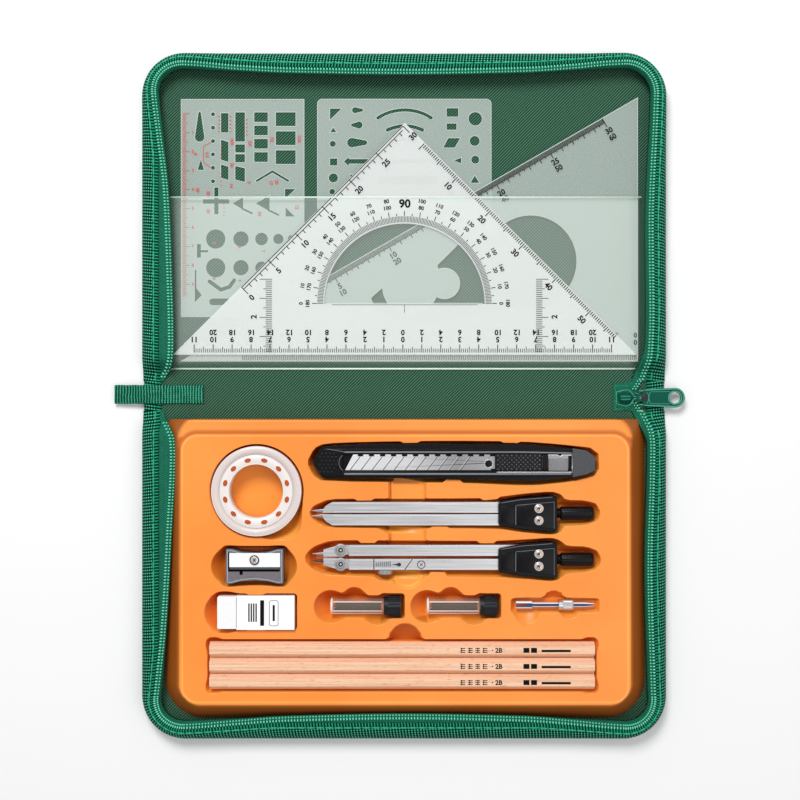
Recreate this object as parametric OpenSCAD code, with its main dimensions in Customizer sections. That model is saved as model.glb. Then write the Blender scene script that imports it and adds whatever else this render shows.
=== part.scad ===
// Zipped drafting instrument case, lying open and flat.
// Origin: centre of the spine's outside face, on the table. +X right, +Y towards the
// far edge of the lid, +Z up. The case folds about two lines parallel to X.

/* [Case] */
// Width of the case
case_w = 265; // [260:1:275]
// Distance from the middle of the spine to the front edge of each half
half_d = 173.5; // [172:0.5:180]
// Thickness of the case when it is shut
closed_t = 25; // [25:0.5:30]
// Corner radius of the cover
corner_r = 21.7; // [18:0.1:26]
// Thickness of a panel: cover, board and lining together
panel_t = 2; // [1.8:0.1:2]

/* [Tray] */
// Height of the tray's deck above the table
deck_z = 17.5; // [17.5:0.1:17.8]
// Thickness of the formed sheet
tray_t = 0.8; // [0.5:0.1:1]
// Radius of the deck's corners
deck_r = 8; // [6:0.5:10]
// Drop from the deck to the ledge along the spine
ledge_drop = 2.3; // [1.5:0.1:3]

/* [Drawing instruments] */
// Outside radius of the tape roll
tape_r = 22.6; // [20:0.1:23]
// Radius of the hole in the tape spool
core_r = 13.4; // [12:0.1:14]
// Width across the corners of a pencil
pencil_w = 7.8; // [6.5:0.1:7.9]
// Length of a pencil
pencil_l = 193; // [175:1:193]
// Thickness of a set square
square_t = 1.2; // [0.8:0.1:1.2]
// Thickness of a stencil
stencil_t = 0.6; // [0.4:0.1:0.6]

/* [Zip] */
// Width of the zip's tape on each side of the coil
zip_tape_w = 5.2; // [4:0.1:5.2]
// Width of one half of the coil
coil_w = 1.4; // [1:0.1:1.4]
// Radius of the hole in the puller
puller_hole_r = 2.85; // [2:0.05:3]

/* [Hidden] */
$fn = 64;

far = 400;          // longer than anything in the model
gap = 0.3;          // clearance between panels that fold
fit = 0.05;         // radial clearance of a pin in its hole
cover_t = 0.8;
board_t = 0.7;
lining_z = panel_t;                 // top of the lining
spine_half = closed_t / 2 - panel_t; // fold lines lie at y = +/- spine_half, z = lining_z
rim_z = closed_t / 2 - 0.2;         // top of each half's zip
rim_start = 19;                     // the side walls stop short of the fold lines

// profile of the woven side wall: [distance in from the outline, height]
gusset_profile = [
    [0, cover_t], [0, 4.6], [0.8, 7.6], [2.6, 9.9], [5.2, 11.4], [8.4, rim_z - 0.2],
    [8.4, rim_z - 1.2], [5.6, 10.4], [3.4, 9.1], [1.8, 7.2], [1.1, 4.4], [1.1, cover_t]
];
tape_u = 8.4;
coil_u = tape_u + zip_tape_w;
zip_profile = [
    [tape_u, rim_z - 0.3], [coil_u, rim_z - 0.15], [coil_u, rim_z], [coil_u + coil_w, rim_z],
    [coil_u + coil_w, rim_z - 1.4], [coil_u, rim_z - 1.4], [coil_u, rim_z - 0.85],
    [tape_u, rim_z - 0.9]
];

teal = [0.07, 0.50, 0.38];
lining_green = [0.20, 0.40, 0.31];
orange = [1.0, 0.62, 0.29];
frosted = [0.80, 0.87, 0.84, 0.6];
black = [0.08, 0.08, 0.09];
steel = [0.78, 0.79, 0.81];
wood = [0.93, 0.75, 0.60];

// ---------------------------------------------------------------- shared shapes

// rectangle from [x0, y0] to [x1, y1] with round corners, all edges moved out by g
module rounded(x0, y0, x1, y1, r, g = 0) {
    rg = r + g;
    translate([x0 - g + rg, y0 - g]) square([x1 - x0 + 2 * g - 2 * rg, y1 - y0 + 2 * g]);
    translate([x0 - g, y0 - g + rg]) square([x1 - x0 + 2 * g, y1 - y0 + 2 * g - 2 * rg]);
    for (x = [x0 + r, x1 - r], y = [y0 + r, y1 - r])
        translate([x, y]) circle(rg);
}

module disc(x, y, r, g = 0) {
    translate([x, y]) circle(r + g);
}

module slab(z0, z1) {
    translate([0, 0, z0]) linear_extrude(z1 - z0) children();
}

// cylinder along +X from x0 to x1
module bar_x(x0, x1, y, z, r, sides = 48) {
    translate([x0, y, z]) rotate([0, 90, 0]) cylinder(h = x1 - x0, r = r, $fn = sides);
}

module cone_x(x0, x1, y, z, r0, r1) {
    translate([x0, y, z]) rotate([0, 90, 0]) cylinder(h = x1 - x0, r1 = r0, r2 = r1, $fn = 32);
}

// one half's panel outline: round corners at the front only, straight at y = -start
module half_outline(start, inset) {
    w = case_w / 2 - inset;
    d = half_d - inset;
    r = corner_r - inset;
    translate([-w, -d + r]) square([2 * w, d - r - start]);
    translate([-w + r, -d]) square([2 * w - 2 * r, r + 1]);
    for (x = [-w + r, w - r])
        translate([x, -d + r]) circle(r);
}

// a profile of [inset, z] points carried round the sides and front of one half
module half_rim(profile) {
    straight = half_d - corner_r - rim_start;
    for (side = [0, 1]) mirror([side, 0, 0]) {
        translate([0, -rim_start, 0]) rotate([90, 0, 0])
            linear_extrude(straight) polygon([for (p = profile) [case_w / 2 - p.x, p.y]]);
        translate([case_w / 2 - corner_r, -half_d + corner_r, 0]) rotate([0, 0, -90])
            rotate_extrude(angle = 90) polygon([for (p = profile) [corner_r - p.x, p.y]]);
    }
    translate([-case_w / 2 + corner_r, 0, 0]) rotate([90, 0, 90])
        linear_extrude(case_w - 2 * corner_r)
            polygon([for (p = profile) [p.x - half_d, p.y]]);
}

// rounded block whose sides flare out by `flare` from z1 down to z0
module mound(x0, x1, y0, y1, r, flare, z0, z1) {
    translate([x0 + r, 0, 0]) rotate([90, 0, 90]) linear_extrude(x1 - x0 - 2 * r)
        polygon([[y0 - flare, z0], [y1 + flare, z0], [y1, z1], [y0, z1]]);
    translate([0, y1 - r, 0]) rotate([90, 0, 0]) linear_extrude(y1 - y0 - 2 * r)
        polygon([[x0 - flare, z0], [x1 + flare, z0], [x1, z1], [x0, z1]]);
    for (x = [x0 + r, x1 - r], y = [y0 + r, y1 - r])
        translate([x, y, z0]) cylinder(h = z1 - z0, r1 = r + flare, r2 = r);
}

// ---------------------------------------------------------------- case halves

module half_cover() { slab(0, cover_t) half_outline(spine_half + gap, 0); }
module half_board() { slab(cover_t, cover_t + board_t) half_outline(spine_half + gap, 1.6); }
module half_lining() { slab(cover_t + board_t, lining_z) half_outline(spine_half + gap, 1.4); }

module base_cover() { color(teal) half_cover(); }
module base_board() { color("dimgray") half_board(); }
module base_lining() { color(lining_green) half_lining(); }
module base_gusset() { color(teal) half_rim(gusset_profile); }
module base_zip() { color(teal) half_rim(zip_profile); }

module lid_cover() { color(teal) mirror([0, 1, 0]) half_cover(); }
module lid_board() { color("dimgray") mirror([0, 1, 0]) half_board(); }
module lid_lining() { color(lining_green) mirror([0, 1, 0]) half_lining(); }
module lid_gusset() { color(teal) mirror([0, 1, 0]) half_rim(gusset_profile); }
module lid_zip() { color(teal) mirror([0, 1, 0]) half_rim(zip_profile); }

// the film is joined to the lining along its two ends and its lower edge
film_x = 120.8;
film_y0 = 14.4;
film_y1 = 101.5;
film_z = lining_z + 3.4;
film_t = 0.25;
welt_w = 1;
module clear_pocket() {
    color([0.85, 0.93, 0.9, 0.35]) {
        slab(film_z, film_z + film_t)
            translate([-film_x, film_y0]) square([2 * film_x, film_y1 - film_y0]);
        slab(lining_z, film_z + 0.05) {
            for (x = [-film_x, film_x - welt_w])
                translate([x, film_y0]) square([welt_w, film_y1 - film_y0]);
            translate([-film_x, film_y0]) square([2 * film_x, welt_w]);
        }
    }
}

// ---------------------------------------------------------------- spine and zip ends

module spine_cover() {
    color(teal) slab(0, cover_t)
        translate([-case_w / 2, gap - spine_half]) square([case_w, 2 * (spine_half - gap)]);
}

module spine_lining() {
    color(lining_green) slab(cover_t, lining_z)
        translate([1.4 - case_w / 2, gap - spine_half])
            square([case_w - 2.8, 2 * (spine_half - gap)]);
}

tab_y = 0.8;
tab_w = 9.6;
tab_t = 0.9;
module webbing_tab() {
    color(teal) slab(lining_z, lining_z + tab_t)
        translate([-146.7, tab_y - tab_w / 2]) square([45.5, tab_w]);
}

slider_y = -0.9;    // middle of the slider
slider_z = 2.6;     // underside of the slider
module zip_end_patch() {
    color(teal) slab(lining_z, lining_z + 0.5) rounded(105.7, -7.6, 116, 5.7, 1);
}

// two wings joined by a neck, with an eye at the nose that holds the puller
module zip_slider() {
    wing = [106.9, -5.5, 117.2, 3.7];
    color(teal) difference() {
        union() {
            for (z = [slider_z, slider_z + 1.7])
                slab(z, z + 0.7) rounded(wing[0], wing[1], wing[2], wing[3], 2);
            slab(slider_z + 0.6, slider_z + 1.8) rounded(108.4, -2.4, 117, 0.6, 1.2);
            translate([puller_x, slider_y + 0.6, puller_z]) rotate([90, 0, 0])
                cylinder(h = 1.2, r = 1.9);
        }
        translate([puller_x, slider_y + 2, puller_z]) rotate([90, 0, 0])
            cylinder(h = 4, r = pin_r + fit);
    }
}

// flat tag with a round hole, hung on a pin between two arms
pin_r = 0.8;
puller_x = 118.9;
puller_z = 4.6;
puller_t = 1.6;
puller_hole_x = 137.9;
puller_x0 = 121.5;      // end of the tag beside the slider
puller_half = 4.3;      // half its width there
puller_end_r = 5.05;    // radius of its round end
module zip_puller() {
    color(teal) difference() {
        union() {
            slab(puller_z - puller_t / 2, puller_z + puller_t / 2) {
                translate([0, slider_y]) polygon([
                    [puller_x0, 1 - puller_half], [puller_x0 + 1, -puller_half],
                    [puller_hole_x, -puller_end_r], [puller_hole_x, puller_end_r],
                    [puller_x0 + 1, puller_half], [puller_x0, puller_half - 1]
                ]);
                disc(puller_hole_x, slider_y, puller_end_r);
            }
            for (side = [-1, 1]) slab(puller_z - 0.5, puller_z + 0.5)
                translate([puller_x, slider_y + side * 1.4 - 0.5]) square([4, 1]);
            translate([puller_x, slider_y + 1.9, puller_z]) rotate([90, 0, 0])
                cylinder(h = 3.8, r = pin_r);
        }
        slab(-1, 9) disc(puller_hole_x, slider_y, puller_hole_r);
    }
}

// ---------------------------------------------------------------- tray

deck_x0 = -111.7;
deck_x1 = 112.7;
deck_y0 = -154;
deck_y1 = -19.6;
ledge_z = deck_z - ledge_drop;
ledge_y = -(spine_half + 1.2);
ledge_w = 1.2;      // the ledge stands this far out round the deck
skirt_flare = 9.2;  // and its skirt spreads this much further at the foot

// outside of the tray, or its hollow where t is the sheet's thickness
module tray_body(t) {
    undercut = t > 0 ? 0.1 : 0;     // the hollow runs out through the foot
    side = ledge_w - t;
    difference() {
        union() {
            mound(deck_x0 - side, deck_x1 + side, deck_y0 - side, -5 - t,
                deck_r + ledge_w - t, skirt_flare, lining_z - undercut, ledge_z - t);
            mound(deck_x0 + t, deck_x1 - t, deck_y0 + t, deck_y1 - t,
                deck_r - t, 0.6, ledge_z - t - 0.01, deck_z - t);
        }
        translate([-far / 2, ledge_y - t, -1]) cube([far, far, 40]);
    }
}

// position along X of the right lead tube and its pocket from the left ones
lead_pitch = 48.4;

// each pocket: its floor, then its outline grown by g
floors = [4.2, 7.2, 7.9, 7.9, 6.6, 5.6, 5.8, 6.6, 6.6, 11.6, 10.2];

module pocket(n, g) {
    if (n == 0) {
        disc(-74.1, -47.8, tape_r + 0.9, g);
        rounded(-74, -72.4, -51.3, -48, 8, g);
    }
    if (n == 1) rounded(-48.6, -43.6, 97.8, -22.9, 5, g);
    if (n == 2) {
        rounded(-49.4, -66.3, 98, -51.6, 6.5, g);
        rounded(45, -68.6, 78.6, -49, 3, g);
        disc(-6.6, -63.5, 6, g);
    }
    if (n == 3) {
        rounded(-50.2, -90.6, 98.8, -72.6, 7.5, g);
        rounded(45, -92, 78.6, -72.2, 3, g);
        disc(-8.6, -87, 6.4, g);
    }
    if (n == 4) rounded(-8, -97, 11.3, -34, 9.6, g);
    if (n == 5) {
        rounded(-90.4, -95, -59.2, -75.8, 1.5, g);
        disc(-89.6, -85.4, 6.4, g);
        disc(-60, -85.4, 6.4, g);
    }
    if (n == 6) {
        rounded(-94.6, -118, -53.6, -99.2, 1.5, g);
        disc(-90, -108.8, 10.3, g);
    }
    if (n == 7 || n == 8) translate([(n - 7) * lead_pitch, 0]) {
        rounded(-38, -111.2, -9, -100.4, 1, g);
        rounded(-11.4, -112, 0.3, -98.9, 1.4, g);
        disc(-37, -105.9, 8.5, g);
        disc(-25, -101.8, 6, g);
        disc(-13.6, -109, 6.2, g);
    }
    if (n == 9) {
        rounded(53.4, -109.4, 98.2, -101.2, 1.5, g);
        disc(61.5, -109.4, 7, g);
        disc(75.2, -102, 5, g);
        disc(82.9, -108.2, 4.6, g);
    }
    if (n == 10) {
        rounded(-98.6, -149.4, 96.6, -122.2, 1, g);
        disc(0.6, -121.7, 8.4, g);
        for (x = [-95.2, 93.2], y = [-124.5, -146.6]) disc(x, y, 5, g);
    }
}

// small nubs on the rims of the long pockets that keep the instruments in place
module nub(x, y, side) {
    translate([x, y]) polygon([[-5, 0], [-3, side], [3, side], [5, 0], [5, -side], [-5, -side]]);
}
module nubs() {
    for (x = [3.2, 53.4]) nub(x, -22.9, -0.6);
    nub(24.5, -43.6, 0.6);
    for (x = [-20, 43.2]) nub(x, -51.6, -0.6);
    nub(17.9, -66.3, 0.6);
    for (x = [-18.2, 41.5]) nub(x, -72.6, -0.6);
    nub(16.9, -90.6, 0.6);
}

module tray() {
    color(orange) difference() {
        union() {
            difference() {
                tray_body(0);
                tray_body(tray_t);
            }
            for (n = [0 : len(floors) - 1])
                slab(floors[n] - tray_t, deck_z) pocket(n, tray_t);
        }
        for (n = [0 : len(floors) - 1])
            slab(floors[n], deck_z + 1) difference() {
                pocket(n, 0);
                nubs();
            }
    }
}

// ---------------------------------------------------------------- squares and stencils

stencil_z = lining_z + 0.05;
low_square_z = stencil_z + stencil_t + 0.1;
top_square_z = low_square_z + square_t + 0.1;

square_45_y = 21;
square_45_half = 118;
protractor_y = 46.9;
module set_square_45() {
    color(frosted) slab(top_square_z, top_square_z + square_t) difference() {
        translate([0.4, square_45_y])
            polygon([[-square_45_half, 0], [square_45_half, 0], [0, square_45_half]]);
        intersection() {
            disc(0.2, protractor_y, 40.9);
            translate([-50, protractor_y]) square([100, 50]);
        }
    }
}

square_30_x = 119.3;
square_30_y = 17.6;
square_30_l = 233.5;
module set_square_30_60() {
    color(frosted) slab(low_square_z, low_square_z + square_t) difference() {
        translate([square_30_x, square_30_y])
            polygon([[0, 0], [0, square_30_l * tan(30)], [-square_30_l, 0]]);
        french_curve();
    }
}

// the curve template cut through the square: a round lobe with two hooks
module french_curve() {
    disc(64.6, 68.7, 23.4);
    difference() {
        polygon([
            [50, 86], [28, 77.6], [17, 66.6], [17.6, 64.2], [0, 58], [-11.3, 54.9], [-16.8, 50],
            [-15, 45.5], [-6, 40], [15, 37], [29, 39], [50, 44], [66, 48]
        ]);
        disc(20.6, 57.4, 8);
        disc(3.2, 55.6, 14.3);
    }
}

// a straight slot of width w with round ends
module slot(a, b, w) {
    d = b - a;
    translate(a) rotate(atan2(d.y, d.x)) {
        translate([0, -w / 2]) square([norm(d), w]);
        for (x = [0, norm(d)]) translate([x, 0]) circle(w / 2, $fn = 24);
    }
}

module box2(x0, y0, x1, y1) {
    translate([x0, y0]) square([x1 - x0, y1 - y0]);
}

// an arched slot of width w, half_angle each side of straight up
module arch(x, y, r, half_angle, w) {
    translate([x, y]) {
        intersection() {
            difference() {
                circle(r + w / 2);
                circle(r - w / 2);
            }
            polygon([
                [0, 0], 2 * r * [sin(half_angle), cos(half_angle)], [0, 3 * r],
                2 * r * [-sin(half_angle), cos(half_angle)]
            ]);
        }
        for (a = [-half_angle, half_angle])
            translate(r * [sin(a), cos(a)]) circle(w / 2, $fn = 24);
    }
}

// stencils are drawn from their top left corner, with y down the sheet as a minus
module template_symbols() {
    color(frosted) translate([-114, 151.7, 0]) slab(stencil_z, stencil_z + stencil_t)
        difference() {
            box2(0, -111.4, 63.1, 0);
            for (y = [7.8 : 6.84 : 43]) disc(16.4, -y, 1);
            for (n = [0 : 2]) box2(48.5, -13.8 - 9.7 * n, 58.6, -6.8 - 9.7 * n);
            for (n = [0 : 3]) box2(37.5, -11.7 - 6.8 * n, 44.4, -6.8 - 6.8 * n);
            box2(27.8, -21.7, 32.7, -6.8);
            for (n = [0, 1]) box2(27.8, -27.3 - 5 * n, 32.7, -23.2 - 5 * n);
            box2(20.5, -17.1, 24.3, -7.2);
            for (p = [[20.5, 20.8, 10.2, 3.8], [20.5, 33.4, 6.8, 3.8], [27.8, 34.2, 7, 4.9]])
                translate([p[0], -p[1]]) polygon([[0, 0], [p[3], -1.2], [p[3], -1.2 - p[2]], [0, -p[2]]]);
            translate([9.6, -7.1]) polygon([[-0.6, 0], [0.6, 0], [2.4, -12.3], [-2.4, -12.3]]);
            disc(9.6, -7.1, 0.6);
            disc(9.6, -19.4, 2.4);
            translate([10.2, -31]) polygon([[0, 0], [1.6, -5.2], [-1.6, -5.2]]);
            for (side = [-1, 1]) slot([46.8, -37], [46.8 + 8 * side, -41.8], 1);
            translate([53.2, -46]) polygon([[0, 0], [5.2, 0], [0, -4.9]]);
            translate([53.5, -60]) polygon([[0, 0], [4.7, 0], [0, 4.6]]);
            box2(17.1, -58.8, 19.2, -45.2);
            box2(11.2, -53.4, 24.7, -51.2);
            for (p = [[26.5, 5.3, 6.3], [38.3, 7, 8]]) translate([p[0], -53.3]) {
                polygon([[0, 0], [p[1], p[2] / 2], [p[1], -p[2] / 2]]);
                slot([p[1] - 0.5, -p[2] / 2 + 0.5], [p[1] + 4.5, -p[2] / 2 - 1.9], 0.9);
            }
            for (c = [[17.8, 4.9], [30.7, 3.9], [41.2, 3.2], [49.8, 2.6], [56.6, 2]]) {
                disc(c[0], -71.5, c[1]);
                disc(c[0], -86.2, c[1]);
            }
            for (c = [[39.3, 0.8], [51.1, 1.4], [56.8, 1.8]]) disc(c[0], -94.4, c[1]);
            box2(8.2, -81, 10.2, -74.1);
            box2(10.1, -78.3, 13.9, -77.2);
            slot([7.5, -87.7], [7.5, -96.5], 0.8);
            translate([7.1, -95.5]) polygon([[0, 0], [3.5, -4.7], [0, -8.4]]);
            slot([14.6, -93.2], [20.4, -97.4], 1.9);
            slot([20.4, -97.4], [24.8, -96], 1.9);
            slot([24.8, -96], [27.2, -92.6], 1.9);
            slot([16.2, -103.6], [24, -103.6], 3.4);
            slot([40, -100.4], [57.6, -100.4], 1.9);
        }
}

module template_shapes() {
    color(frosted) translate([-44.4, 151.8, 0]) slab(stencil_z, stencil_z + stencil_t)
        difference() {
            rounded(0, -57.8, 89.1, 0, 2.6);
            translate([6.6, -5]) polygon([[0, 0], [5.8, 0], [0, -5.6]]);
            translate([8.3, -14.7]) polygon([[0, 0], [1.5, -2.3], [-1.5, -2.3]]);
            for (c = [[8, 23, 1.5], [8.3, 40.4, 2.3], [7.7, 47.4, 1.4], [80.8, 10.2, 3.4],
                [80.5, 21.5, 2.5], [80.8, 31.1, 2], [68.8, 49.6, 2.2]])
                disc(c[0], -c[1], c[2]);
            box2(6.6, -34, 10.3, -30.5);
            for (p = [[19.4, 5.8, 3.4, 1.5, 0.7], [21.4, 13.4, -3.2, 1.8, 0.8],
                [17.8, 22.4, 6.6, 2.4, 1.2]]) translate([p[0], -p[1]]) {
                circle(p[3], $fn = 32);
                translate([p[2], 0]) circle(p[4], $fn = 24);
                polygon([[0, p[3]], [p[2], p[4]], [p[2], -p[4]], [0, -p[3]]]);
            }
            arch(44.7, -30.7, 25, 33, 1.6);
            arch(44.9, -34.2, 20.3, 26, 1.7);
            arch(45, -35.3, 14.5, 29, 1.5);
            translate([13.7, -32]) polygon([[0, 0], [2.5, 2.3], [2.5, -2.3]]);
            box2(16, -33.1, 60.6, -30.8);
            box2(33.4, -44, 61.7, -39.3);
            disc(33.4, -41.65, 2.35);
            translate([17, -41.6]) polygon([[0, 3], [7.6, 0], [0, -3]]);
            box2(66.2, -9.1, 72.1, -4.8);
            box2(66.2, -15.8, 71.2, -12.6);
            translate([64.5, -24.9]) polygon([[0, 0], [5.9, 0], [8.5, 4.8], [2.5, 4.8]]);
            translate([70, -31.5]) polygon([[0, 0], [3.6, 1.4], [3.6, -1.5]]);
            translate([80.6, -39.3]) polygon([[0, 0], [2.2, -3.6], [-2.2, -3.6]]);
            translate([67.2, -42.4]) polygon([[0, 2.4], [3, 2.4], [5, -1], [-1, -1]]);
            slot([20, -51.2], [65, -51.2], 1.5);
            slot([9.4, -51.8], [12.8, -51.8], 1.7);
        }
}

// ---------------------------------------------------------------- tape

tape_x = -74.1;
tape_y = -47.8;
tape_z = floors[0] + 0.1;
tape_w = 12.6;
spool_r = 18.4;
module tape_spool() {
    color([0.93, 0.92, 0.9]) translate([tape_x, tape_y, tape_z]) difference() {
        cylinder(h = tape_w, r = spool_r);
        translate([0, 0, -1]) cylinder(h = tape_w + 2, r = core_r);
        for (n = [0 : 11]) rotate([0, 0, 15 + 30 * n]) translate([15.9, 0, tape_w - 1.6])
            slab(0, 2) slot([0, -0.7], [0, 0.7], 2.2);
    }
}

module tape_winding() {
    color([0.95, 0.93, 0.91, 0.8]) translate([tape_x, tape_y, tape_z]) difference() {
        cylinder(h = tape_w - 0.3, r = tape_r);
        translate([0, 0, -1]) cylinder(h = tape_w + 2, r = spool_r + 0.02);
    }
}

// ---------------------------------------------------------------- snap-off knife

knife_y = -33.2;
knife_z = 7.3;
blade_z = deck_z + 0.3;
rail_y = 5.1;
knife_outline = [
    [-45.9, -33.2], [-41.2, -25.4], [-20, -24.4], [-3.5, -24], [58.7, -24.2], [84, -26.2],
    [84, -40.7], [63.8, -42.6], [30, -41.4], [-40.8, -40.8]
];
module knife_channel() {
    translate([-60, knife_y - rail_y]) square([160, 2 * rail_y]);
}

// the nose above the channel is a bridge with a slot that the blade passes through
module knife_body() {
    color(black) {
        slab(knife_z, 16) polygon(knife_outline);
        slab(16, 17.2) difference() {
            polygon(knife_outline);
            knife_channel();
        }
        slab(17.2, 18.5) difference() {
            box2(-40, knife_y - 6.6, 84, knife_y + 6.6);
            knife_channel();
        }
        slab(18.4, 18.8) intersection() {
            polygon(knife_outline);
            box2(-45, knife_y - 6.4, -31, knife_y + 6.4);
        }
    }
}

module knife_rail() {
    color(steel) {
        slab(16, 16.5) box2(-30, knife_y - rail_y + fit, 84, knife_y + rail_y - fit);
        for (side = [-1, 1])
            slab(16.5, 18.6) translate([0, knife_y + side * (rail_y - 0.4)])
                box2(-30, -0.3, 84, 0.3);
    }
}

module knife_blade() {
    color(steel) slab(blade_z, blade_z + 0.4) difference() {
        union() {
            translate([-30.1, knife_y]) polygon([
                [0.6, -3.9], [73.5, -3.9], [73.5, 3.9], [4.6, 3.9]
            ]);
            box2(43, knife_y - 3.2, 82, knife_y + 3.2);
        }
        disc(42.2, knife_y, 1);
    }
}

module knife_slider() {
    color(black) slab(blade_z + 0.4, 19.1) rounded(45.3, knife_y - 4.1, 68.9, knife_y + 4.1, 1);
}

module knife_end_cap() {
    color("dimgray") slab(knife_z, 18.5) polygon([
        [84.1, -26.2], [91.3, -27.3], [95.4, -30.4], [95.4, -37.4], [91, -39.4], [84.1, -40.7]
    ]);
}

// ---------------------------------------------------------------- divider and compass

instrument_z = 8.1;     // underside of the heads
head_top = 17.1;
leg_z0 = 11.2;
leg_z1 = 15.6;
pivot_x = 67.4;
pivot_r = 1.3;
eye_r = 2.3;
handle_r = 3.4;
handle_z = 13;

// black clevis: two plates with the legs between them and a solid web behind
module clevis(y, y_up, y_low) {
    outline = [
        [47.2, y + 5.5], [48.4, y + 6.2], [58, y + 7.9], [74.6, y + 9.1], [76.6, y + 8.2],
        [76.6, y - 8.2], [74.6, y - 9.1], [58, y - 7.9], [48.4, y - 6.2], [47.2, y - 5.5]
    ];
    difference() {
        slab(instrument_z, head_top) polygon(outline);
        slab(leg_z0 - 0.25, leg_z1 + 0.25) box2(40, y - 20, 71.6, y + 20);
        for (py = [y_up, y_low])
            translate([pivot_x, py, 0]) cylinder(h = 40, r = pivot_r + 0.02);
    }
}

module grip(y) {
    bar_x(76.7, 78.4, y, handle_z, 2.6);
    bar_x(78.4, 94, y, handle_z, handle_r);
    cone_x(94, 95.3, y, handle_z, handle_r, 2.3);
}

module pivot_screws(y_up, y_low) {
    for (py = [y_up, y_low]) translate([pivot_x, py, 0]) {
        translate([0, 0, instrument_z + 0.4])
            cylinder(h = head_top - instrument_z - 0.4, r = pivot_r);
        difference() {
            translate([0, 0, head_top]) cylinder(h = 0.4, r = 2.1);
            translate([-2.2, -0.25, head_top + 0.2]) cube([4.4, 0.5, 1]);
        }
    }
}

// flat leg with a round eye at the pivot
module leg(x0, y0, y1, py) {
    difference() {
        slab(leg_z0, leg_z1) {
            difference() {
                box2(x0, y0, pivot_x, y1);
                disc(pivot_x, py, eye_r);
            }
            disc(pivot_x, py, eye_r);
        }
        translate([pivot_x, py, 0]) cylinder(h = 40, r = pivot_r + fit);
    }
}

div_y = -59;
div_up = -56.6;
div_low = -62.6;
module divider_head() { color(black) clevis(div_y, div_up, div_low); }
module divider_handle() { color(black) grip(div_y); }
module divider_screws() { color("goldenrod") pivot_screws(div_up, div_low); }
module divider_leg_upper() {
    color(steel) {
        leg(-36, -58.6, -53.2, div_up);
        slab(leg_z0, leg_z1)
            polygon([[-36, -58.6], [-36, -53.2], [-39.2, -55], [-40.7, -57], [-40.7, -58.6]]);
    }
}
module divider_leg_lower() {
    color(steel) {
        leg(-36, -64.9, -59.3, div_low);
        slab(leg_z0, leg_z1)
            polygon([[-36, -59.3], [-36, -64.9], [-39.2, -62.9], [-40.7, -60.9], [-40.7, -59.3]]);
    }
}
module divider_point_upper() { color(steel) cone_x(-46.8, -40.7, -57.7, 13.4, 0.15, 0.8); }
module divider_point_lower() { color(steel) cone_x(-46.8, -40.7, -60.3, 13.4, 0.15, 0.8); }

comp_y = -82.2;
comp_up = -79.3;
comp_low = -85.5;
knee_x = -31.8;
knee_up = -77.4;
knee_low = -84.4;
knee_r = 3.3;
module compass_head() { color(black) clevis(comp_y, comp_up, comp_low); }
module compass_handle() { color(black) grip(comp_y); }
module compass_screws() { color("goldenrod") pivot_screws(comp_up, comp_low); }

// each leg ends in a round eye under the knee's disc
module compass_leg_upper() {
    color(steel) {
        leg(-27.6, -80.2, -74.7, comp_up);
        difference() {
            slab(leg_z0, 13.3) {
                disc(knee_x, knee_up, 2.7);
                box2(knee_x, knee_up - 2.4, -27.5, knee_up + 2.4);
            }
            translate([knee_x, knee_up, 0]) cylinder(h = 40, r = 1.05);
        }
    }
}
module compass_leg_lower() {
    color(steel) {
        difference() {
            leg(-27.6, -87.2, -81.7, comp_low);
            translate([thumb_x, -88, 13.4]) rotate([-90, 0, 0]) cylinder(h = 4, r = 1.05);
        }
        difference() {
            slab(leg_z0, 13.3) {
                disc(knee_x, knee_low, 2.7);
                box2(knee_x, knee_low - 2.4, -27.5, knee_low + 2.4);
            }
            translate([knee_x, knee_low, 0]) cylinder(h = 40, r = 1.05);
        }
    }
}

// tapered foot with a rivet that turns in the leg's eye
module knee(y, side) {
    slab(13.6, 15.8) {
        disc(knee_x, y, knee_r);
        polygon([
            [knee_x, y - 3.1 * side], [knee_x, y + 2.9 * side], [-40.4, y + 0.4 * side],
            [-40.4, y - 3.3 * side]
        ]);
    }
    translate([knee_x, y, leg_z0 - 0.3]) cylinder(h = 13.6 - leg_z0 + 0.3, r = 1);
}
module compass_knee_upper() { color(steel) knee(knee_up, 1); }
module compass_knee_lower() { color(steel) knee(knee_low, -1); }
module compass_needle() { color(steel) cone_x(-46, -40.4, -79.2, 14.7, 0.15, 0.7); }
module compass_lead() { color(black) cone_x(-45.7, -40.4, -82.6, 14.7, 0.3, 0.9); }

thumb_x = -9.6;
module compass_thumb_screw() {
    color(steel) translate([thumb_x, 0, 13.4]) rotate([-90, 0, 0]) {
        translate([0, 0, -89.6]) cylinder(h = 2.2, r = 2.1);
        translate([0, 0, -87.4]) cylinder(h = 3, r = 1);
    }
}

// ---------------------------------------------------------------- small tools

sharpener_z = 5.7;
module sharpener_body() {
    color(black) difference() {
        slab(sharpener_z, 16.4) polygon([
            [-89.2, -94], [-89.2, -76.8], [-86.5, -76.8], [-82, -78.2], [-75, -79], [-68, -78.2],
            [-63.3, -76.8], [-60.6, -76.8], [-60.6, -94], [-63.3, -94], [-68, -92.8],
            [-75, -92.2], [-82, -92.8], [-86.5, -94]
        ]);
        cone_x(-90, -66, -87.6, 11.6, 3.9, 0.8);
        slab(16, 20) box2(-87.6, -85.8, -62, -78.6);
        translate([-74.9, -82.1, 12]) cylinder(h = 9, r = 1.02);
    }
}
module sharpener_blade() {
    color(steel) slab(16, 16.6) difference() {
        box2(-87.5, -85.7, -62.1, -78.7);
        disc(-74.9, -82.1, 1.02);
    }
}
module sharpener_screw() {
    color(steel) translate([-74.9, -82.1, 0]) {
        translate([0, 0, 12.2]) cylinder(h = 4.4, r = 1);
        difference() {
            translate([0, 0, 16.6]) cylinder(h = 0.8, r = 2);
            translate([-2.2, -0.3, 17]) cube([4.4, 0.6, 1]);
        }
    }
}

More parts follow.
